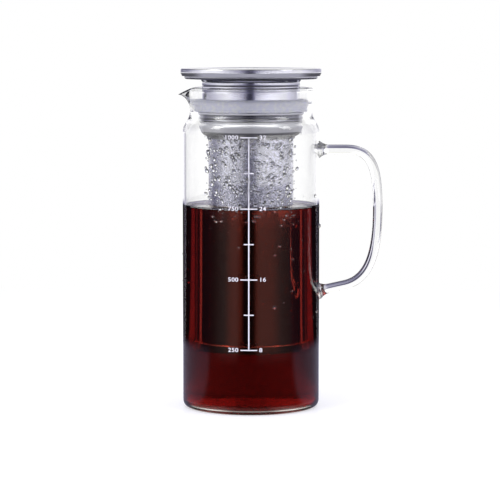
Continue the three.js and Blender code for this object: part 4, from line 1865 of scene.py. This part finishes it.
def cooled(sheet: Sheet, brightness: Value, plain: Value) -> Socket:
    """Turns a card's brightness into light, the more lavender the darker the card is.

    Args:
        sheet: the node tree.
        brightness: the card's brightness.
        plain: share of the light that stays without the lavender.

    Returns:
        The light's colour socket.
    """
    pale = sheet.mix(sheet.between(brightness, 0.85, 1.0), (1.0, 0.985, 1.13), WHITE)
    tint = sheet.mix(sheet.between(brightness, 0.1, 0.6), (0.95, 0.92, 1.4), pale)
    product = sheet.node("ShaderNodeVectorMath", {"operation": "MULTIPLY"})
    light = sheet.feed(product, 0, brightness, sheet.mix(plain, tint, (1.0, 1.0, 0.95)))
    return light.outputs["Vector"]


@dataclass
class Studio:
    """Camera, soft lamps, white floor and the surroundings that glass and steel show.

    Reaches are distances in metres on the floor, from the object to where the card starts and to
    where it's full. Shares are what is left of a card's light.
    """

    camera_place: tuple[float, float, float] = (-0.00064, -1.45, 0.2398)
    camera_pitch: float = 5.51
    lens: float = 164.2
    floor_size: float = 40.0
    floor_steps: int = 8
    near_reach: Point = (0.24, 0.36)
    middle_reach: Point = (1.68, 1.85)
    high_reach: Point = (4.2, 5.0)
    far_reach: Point = (9.9, 10.3)
    ceiling: float = 3.5
    far_share: float = 0.3
    zenith: float = 0.7
    middle_share: float = 0.35
    low_lag: float = 0.4
    side_glare: float = 1.25
    side_reach: Point = (8.2, 7.6)
    direct_share: float = 0.09
    foot_share: float = 0.35
    foot_glare: float = 0.3
    facing_share: float = 0.55
    beak_share: float = 0.6
    neck_line: float = 0.7
    back_glow: float = 1.5
    edge_share: float = 0.12
    side_depth: float = 0.35
    soft_light: Colour = (0.7, 0.7, 0.8)
    soft_edge: float = 0.04
    strip_tall: Point = (0.78, 0.93)
    window_start: Point = (0.5, 0.56)
    window_deep: Point = (-0.42, -0.12)
    window_tall: Point = (0.46, 0.72)
    left_window: float = 6.0
    right_window: float = 4.5

    def build(self) -> None:
        """Builds the studio round the object."""
        self.camera()
        self.lamps()
        self.world()
        self.floor()
        scene = bpy.context.scene
        scene.view_settings.view_transform = "Standard"
        scene.cycles.max_bounces = 28
        scene.cycles.transmission_bounces = 26
        scene.cycles.glossy_bounces = 8

    def camera(self) -> None:
        """Places the camera where the photograph's was."""
        data = bpy.data.cameras.new("camera")
        data.lens, data.sensor_width = self.lens, 36.0
        data.clip_start, data.clip_end = 0.05, 200.0
        holder = linked("camera", data)
        holder.location = self.camera_place
        holder.rotation_euler = (math.radians(90 - self.camera_pitch), 0, 0)
        bpy.context.scene.camera = holder

    def lamps(self) -> None:
        """Hangs one soft lamp on each side, which no reflection shows."""
        middle = Vector((0, 0, 0.11))
        for name, place, power in (
            ("lamp_left", (-0.85, -0.7, 0.75), 5.5),
            ("lamp_right", (0.95, -0.6, 0.7), 4.5),
        ):
            data = bpy.data.lights.new(name, "AREA")
            data.shape, data.energy = "RECTANGLE", power
            data.size, data.size_y = 0.7, 1.1
            holder = linked(name, data)
            holder.location = place
            aim = middle - Vector(place)
            holder.rotation_euler = aim.to_track_quat("-Z", "Y").to_euler()
            holder.visible_glossy = holder.visible_transmission = holder.visible_camera = False

    def world(self) -> None:
        """Sets the white background and what reflections and refractions see above the floor."""
        world = bpy.data.worlds.new("studio")
        world.use_nodes = True
        bpy.context.scene.world = world
        world.node_tree.nodes.clear()
        sheet = Sheet(world.node_tree)
        direction = sheet.place("Generated")
        cards = sheet.group(studio_cards(), Vector=direction)
        axes = sheet.axes(direction)
        x, y, z = (axes[name] for name in ("X", "Y", "Z"))
        aside = sheet.math("ABSOLUTE", x)
        rays = Rays(sheet)

        away = sheet.times(
            sheet.between(z, 0.22, 0.4), sheet.between(y, 0.0, 0.15),
            sheet.between(aside, 0.3, 0.15), rays.mirrored,
        )
        sky = sheet.times(cards["Sky"], sheet.fade(away, self.far_share))
        sides = sheet.times(sheet.between(z, 0.45, 0.65), sheet.between(aside, 0.15, 0.3))
        overhead = sheet.times(sides, rays.mirrored, self.zenith)
        unmirrored = sheet.fade(rays.mirrored, 0.0)
        line = sheet.window(z, *self.strip_tall, self.soft_edge)
        strip = sheet.times(line, unmirrored, self.ceiling)
        seen = sheet.most(sky, overhead, strip)
        deep = sheet.window(y, *self.window_deep, self.soft_edge)
        tall = sheet.window(z, *self.window_tall, self.soft_edge)
        for side, strength in ((-1.0, self.left_window), (1.0, self.right_window)):
            start = sheet.between(sheet.times(x, side), *self.window_start)
            lit = sheet.times(start, deep, tall)
            seen = sheet.linear(lit, strength, seen)
        glow = sheet.times(
            cards["Behind"], rays.refracted, sheet.between(z, 0.6, 0.3, 1.0, self.back_glow),
            sheet.between(aside, 0.04, 0.14, self.middle_share, 1.0),
        )
        seen = sheet.most(seen, glow, rays.straight)

        card_light = cooled(sheet, seen, sheet.between(z, 0.3, 0.55))
        soft = sheet.mix(rays.sharp, self.soft_light, card_light)
        colour = sheet.mix(rays.camera, soft, WHITE)
        background = sheet.node("ShaderNodeBackground", Color=colour, Strength=1.0)
        sheet.node("ShaderNodeOutputWorld", Surface=background.outputs[0])

    def floor(self) -> None:
        """Lays the white floor, which shows reflections and refractions the same studio."""
        half, steps = self.floor_size / 2, self.floor_steps
        lines = [half * (2 * step / steps - 1) for step in range(steps + 1)]
        starts = [row * (steps + 1) + step for row in range(steps) for step in range(steps)]
        faces = [(i, i + 1, i + steps + 2, i + steps + 1) for i in starts]
        piece = meshed("floor", [(x, y, -0.0001) for y in lines for x in lines], faces)
        material = bpy.data.materials.new("white_floor")
        material.use_nodes = True
        material.node_tree.nodes.clear()
        sheet = Sheet(material.node_tree)
        place = sheet.place()
        length = sheet.node("ShaderNodeVectorMath", {"operation": "LENGTH"}, Vector=place)
        reach = length.outputs["Value"]
        rays = Rays(sheet)
        card_light = self.floor_cards(sheet, rays, place, reach)
        sight = self.floor_sight(sheet, reach)
        both = sheet.blend(rays.sharp, sight, sheet.glow(card_light))
        sheet.node("ShaderNodeOutputMaterial", Surface=both)
        piece.data.materials.append(material)

    def floor_sight(self, sheet: Sheet, reach: Socket) -> Socket:
        """Gives what the camera sees: a pale shadow at the foot that fades to plain white.

        Args:
            sheet: the floor's sheet.
            reach: distance from the object.

        Returns:
            The shader's socket.
        """
        matte = sheet.node("ShaderNodeBsdfDiffuse", Color=(0.78, 0.78, 0.8)).outputs[0]
        lit = sheet.node("ShaderNodeAddShader")
        sheet.feed(lit, 0, matte, sheet.glow((0.47, 0.47, 0.47)))
        gloss = sheet.node("ShaderNodeBsdfGlossy", Color=(0.9, 0.9, 0.95), Roughness=0.12)
        shine = sheet.between(reach, 0.3, 0.1, 0.0, 0.08)
        polished = sheet.blend(shine, lit.outputs[0], gloss.outputs[0])
        return sheet.blend(sheet.between(reach, 0.22, 0.7), polished, sheet.glow(WHITE))

    def floor_cards(self, sheet: Sheet, rays: Rays, place: Socket, reach: Socket) -> Socket:
        """Gives what reflections and refractions see on the floor.

        Args:
            sheet: the floor's sheet.
            rays: masks of the kinds of rays.
            place: coordinates on the floor.
            reach: distance from the object.

        Returns:
            The light's colour socket.
        """
        cards = sheet.group(studio_cards(), Vector=place)
        axes = sheet.axes(place)
        front = sheet.between(sheet.math("DIVIDE", axes["Y"], reach), -0.2, -0.5)
        held = sheet.linear(front, -self.low_lag, reach)
        seen = cards["Near"]
        for name, ruler, (start, full) in (
            ("Low", reach, self.near_reach),
            ("Middle", held, self.middle_reach),
            ("High", reach, self.high_reach),
            ("Sky", reach, self.far_reach),
        ):
            seen = sheet.mix(sheet.between(ruler, start, full), seen, cards[name])
        across = sheet.math("ABSOLUTE", axes["X"])
        rim = sheet.between(across, 0.026, 0.036, 0.0, 0.45)
        under = sheet.math("SUBTRACT", sheet.between(across, 0.01, 0.024, 0.28, 0.95), rim)
        seen = sheet.mix(sheet.between(reach, 0.06, 0.045), seen, under)

        # Mirrored rays: darker in front and beside, with a glare at the foot and far aside.
        aside = sheet.times(rays.mirrored, sheet.between(front, 1.0, 0.0))
        below = sheet.between(reach, *reversed(self.middle_reach))
        loss = sheet.between(reach, 0.24, 0.4, self.foot_share - 1.0, self.direct_share - 1.0)
        seen = sheet.times(seen, sheet.linear(sheet.times(aside, below), loss, 1.0))
        facing = sheet.times(rays.mirrored, front, below)
        seen = sheet.times(seen, sheet.fade(facing, self.facing_share))
        foot = sheet.times(aside, sheet.between(reach, 0.36, 0.28), self.foot_glare)
        far = sheet.times(
            sheet.between(reach, *self.side_reach), sheet.between(reach, *self.middle_reach)
        )
        glare = sheet.times(aside, far, self.side_glare)

        # Refracted rays: bright behind, dark along the glass's edges and clear straight through.
        high = sheet.between(reach, *self.high_reach)
        behind = sheet.times(cards["Behind"], rays.refracted, high)
        seen = sheet.most(seen, foot, glare, behind)
        neck = sheet.between(reach, 5.2, 5.6, 0.0, self.neck_line)
        edge = sheet.times(cards["Edge"], sheet.most(sheet.between(reach, 4.2, 3.6), neck))
        clear = sheet.fade(edge, self.edge_share)
        seen = sheet.mix(sheet.times(rays.straight, sheet.between(reach, 1.75, 2.0)), seen, clear)
        back = sheet.times(cards["Straight Behind"], sheet.between(reach, 0.7, 0.9))
        beside = sheet.times(cards["Beside"], sheet.between(reach, 0.3, 0.9, self.side_depth, 1.0))
        through = sheet.times(sheet.most(back, beside), rays.straight)

        # Steep rays that passed only the carafe's two walls, or the beak, end in plain white.
        run = sheet.math("DIVIDE", sheet.math("SUBTRACT", reach, 0.04), rays.length)
        steep = sheet.between(sheet.times(run, run), 0.95, 0.88)
        walls, bare = (sheet.math("COMPARE", rays.surfaces, count, 0.5) for count in (4.0, 2.0))
        beak = sheet.between(axes["X"], -0.02, -0.03, 0.0, self.beak_share)
        passed = sheet.most(walls, sheet.times(bare, beak))
        steep = sheet.times(steep, sheet.between(rays.length, 0.06, 0.09), passed)
        seen = sheet.most(seen, through, sheet.times(steep, rays.straight))
        plain = sheet.most(sheet.times(front, below), steep)
        return cooled(sheet, seen, plain)


def main() -> None:
    """Builds the studio and the maker's sub-assemblies in order."""
    logging.basicConfig(level=logging.INFO, format="%(name)s: %(message)s")
    Studio().build()
    for part in (Carafe(), Infuser(), Basket(), Lid()):
        part.build()


if __name__ == "__main__":
    main()
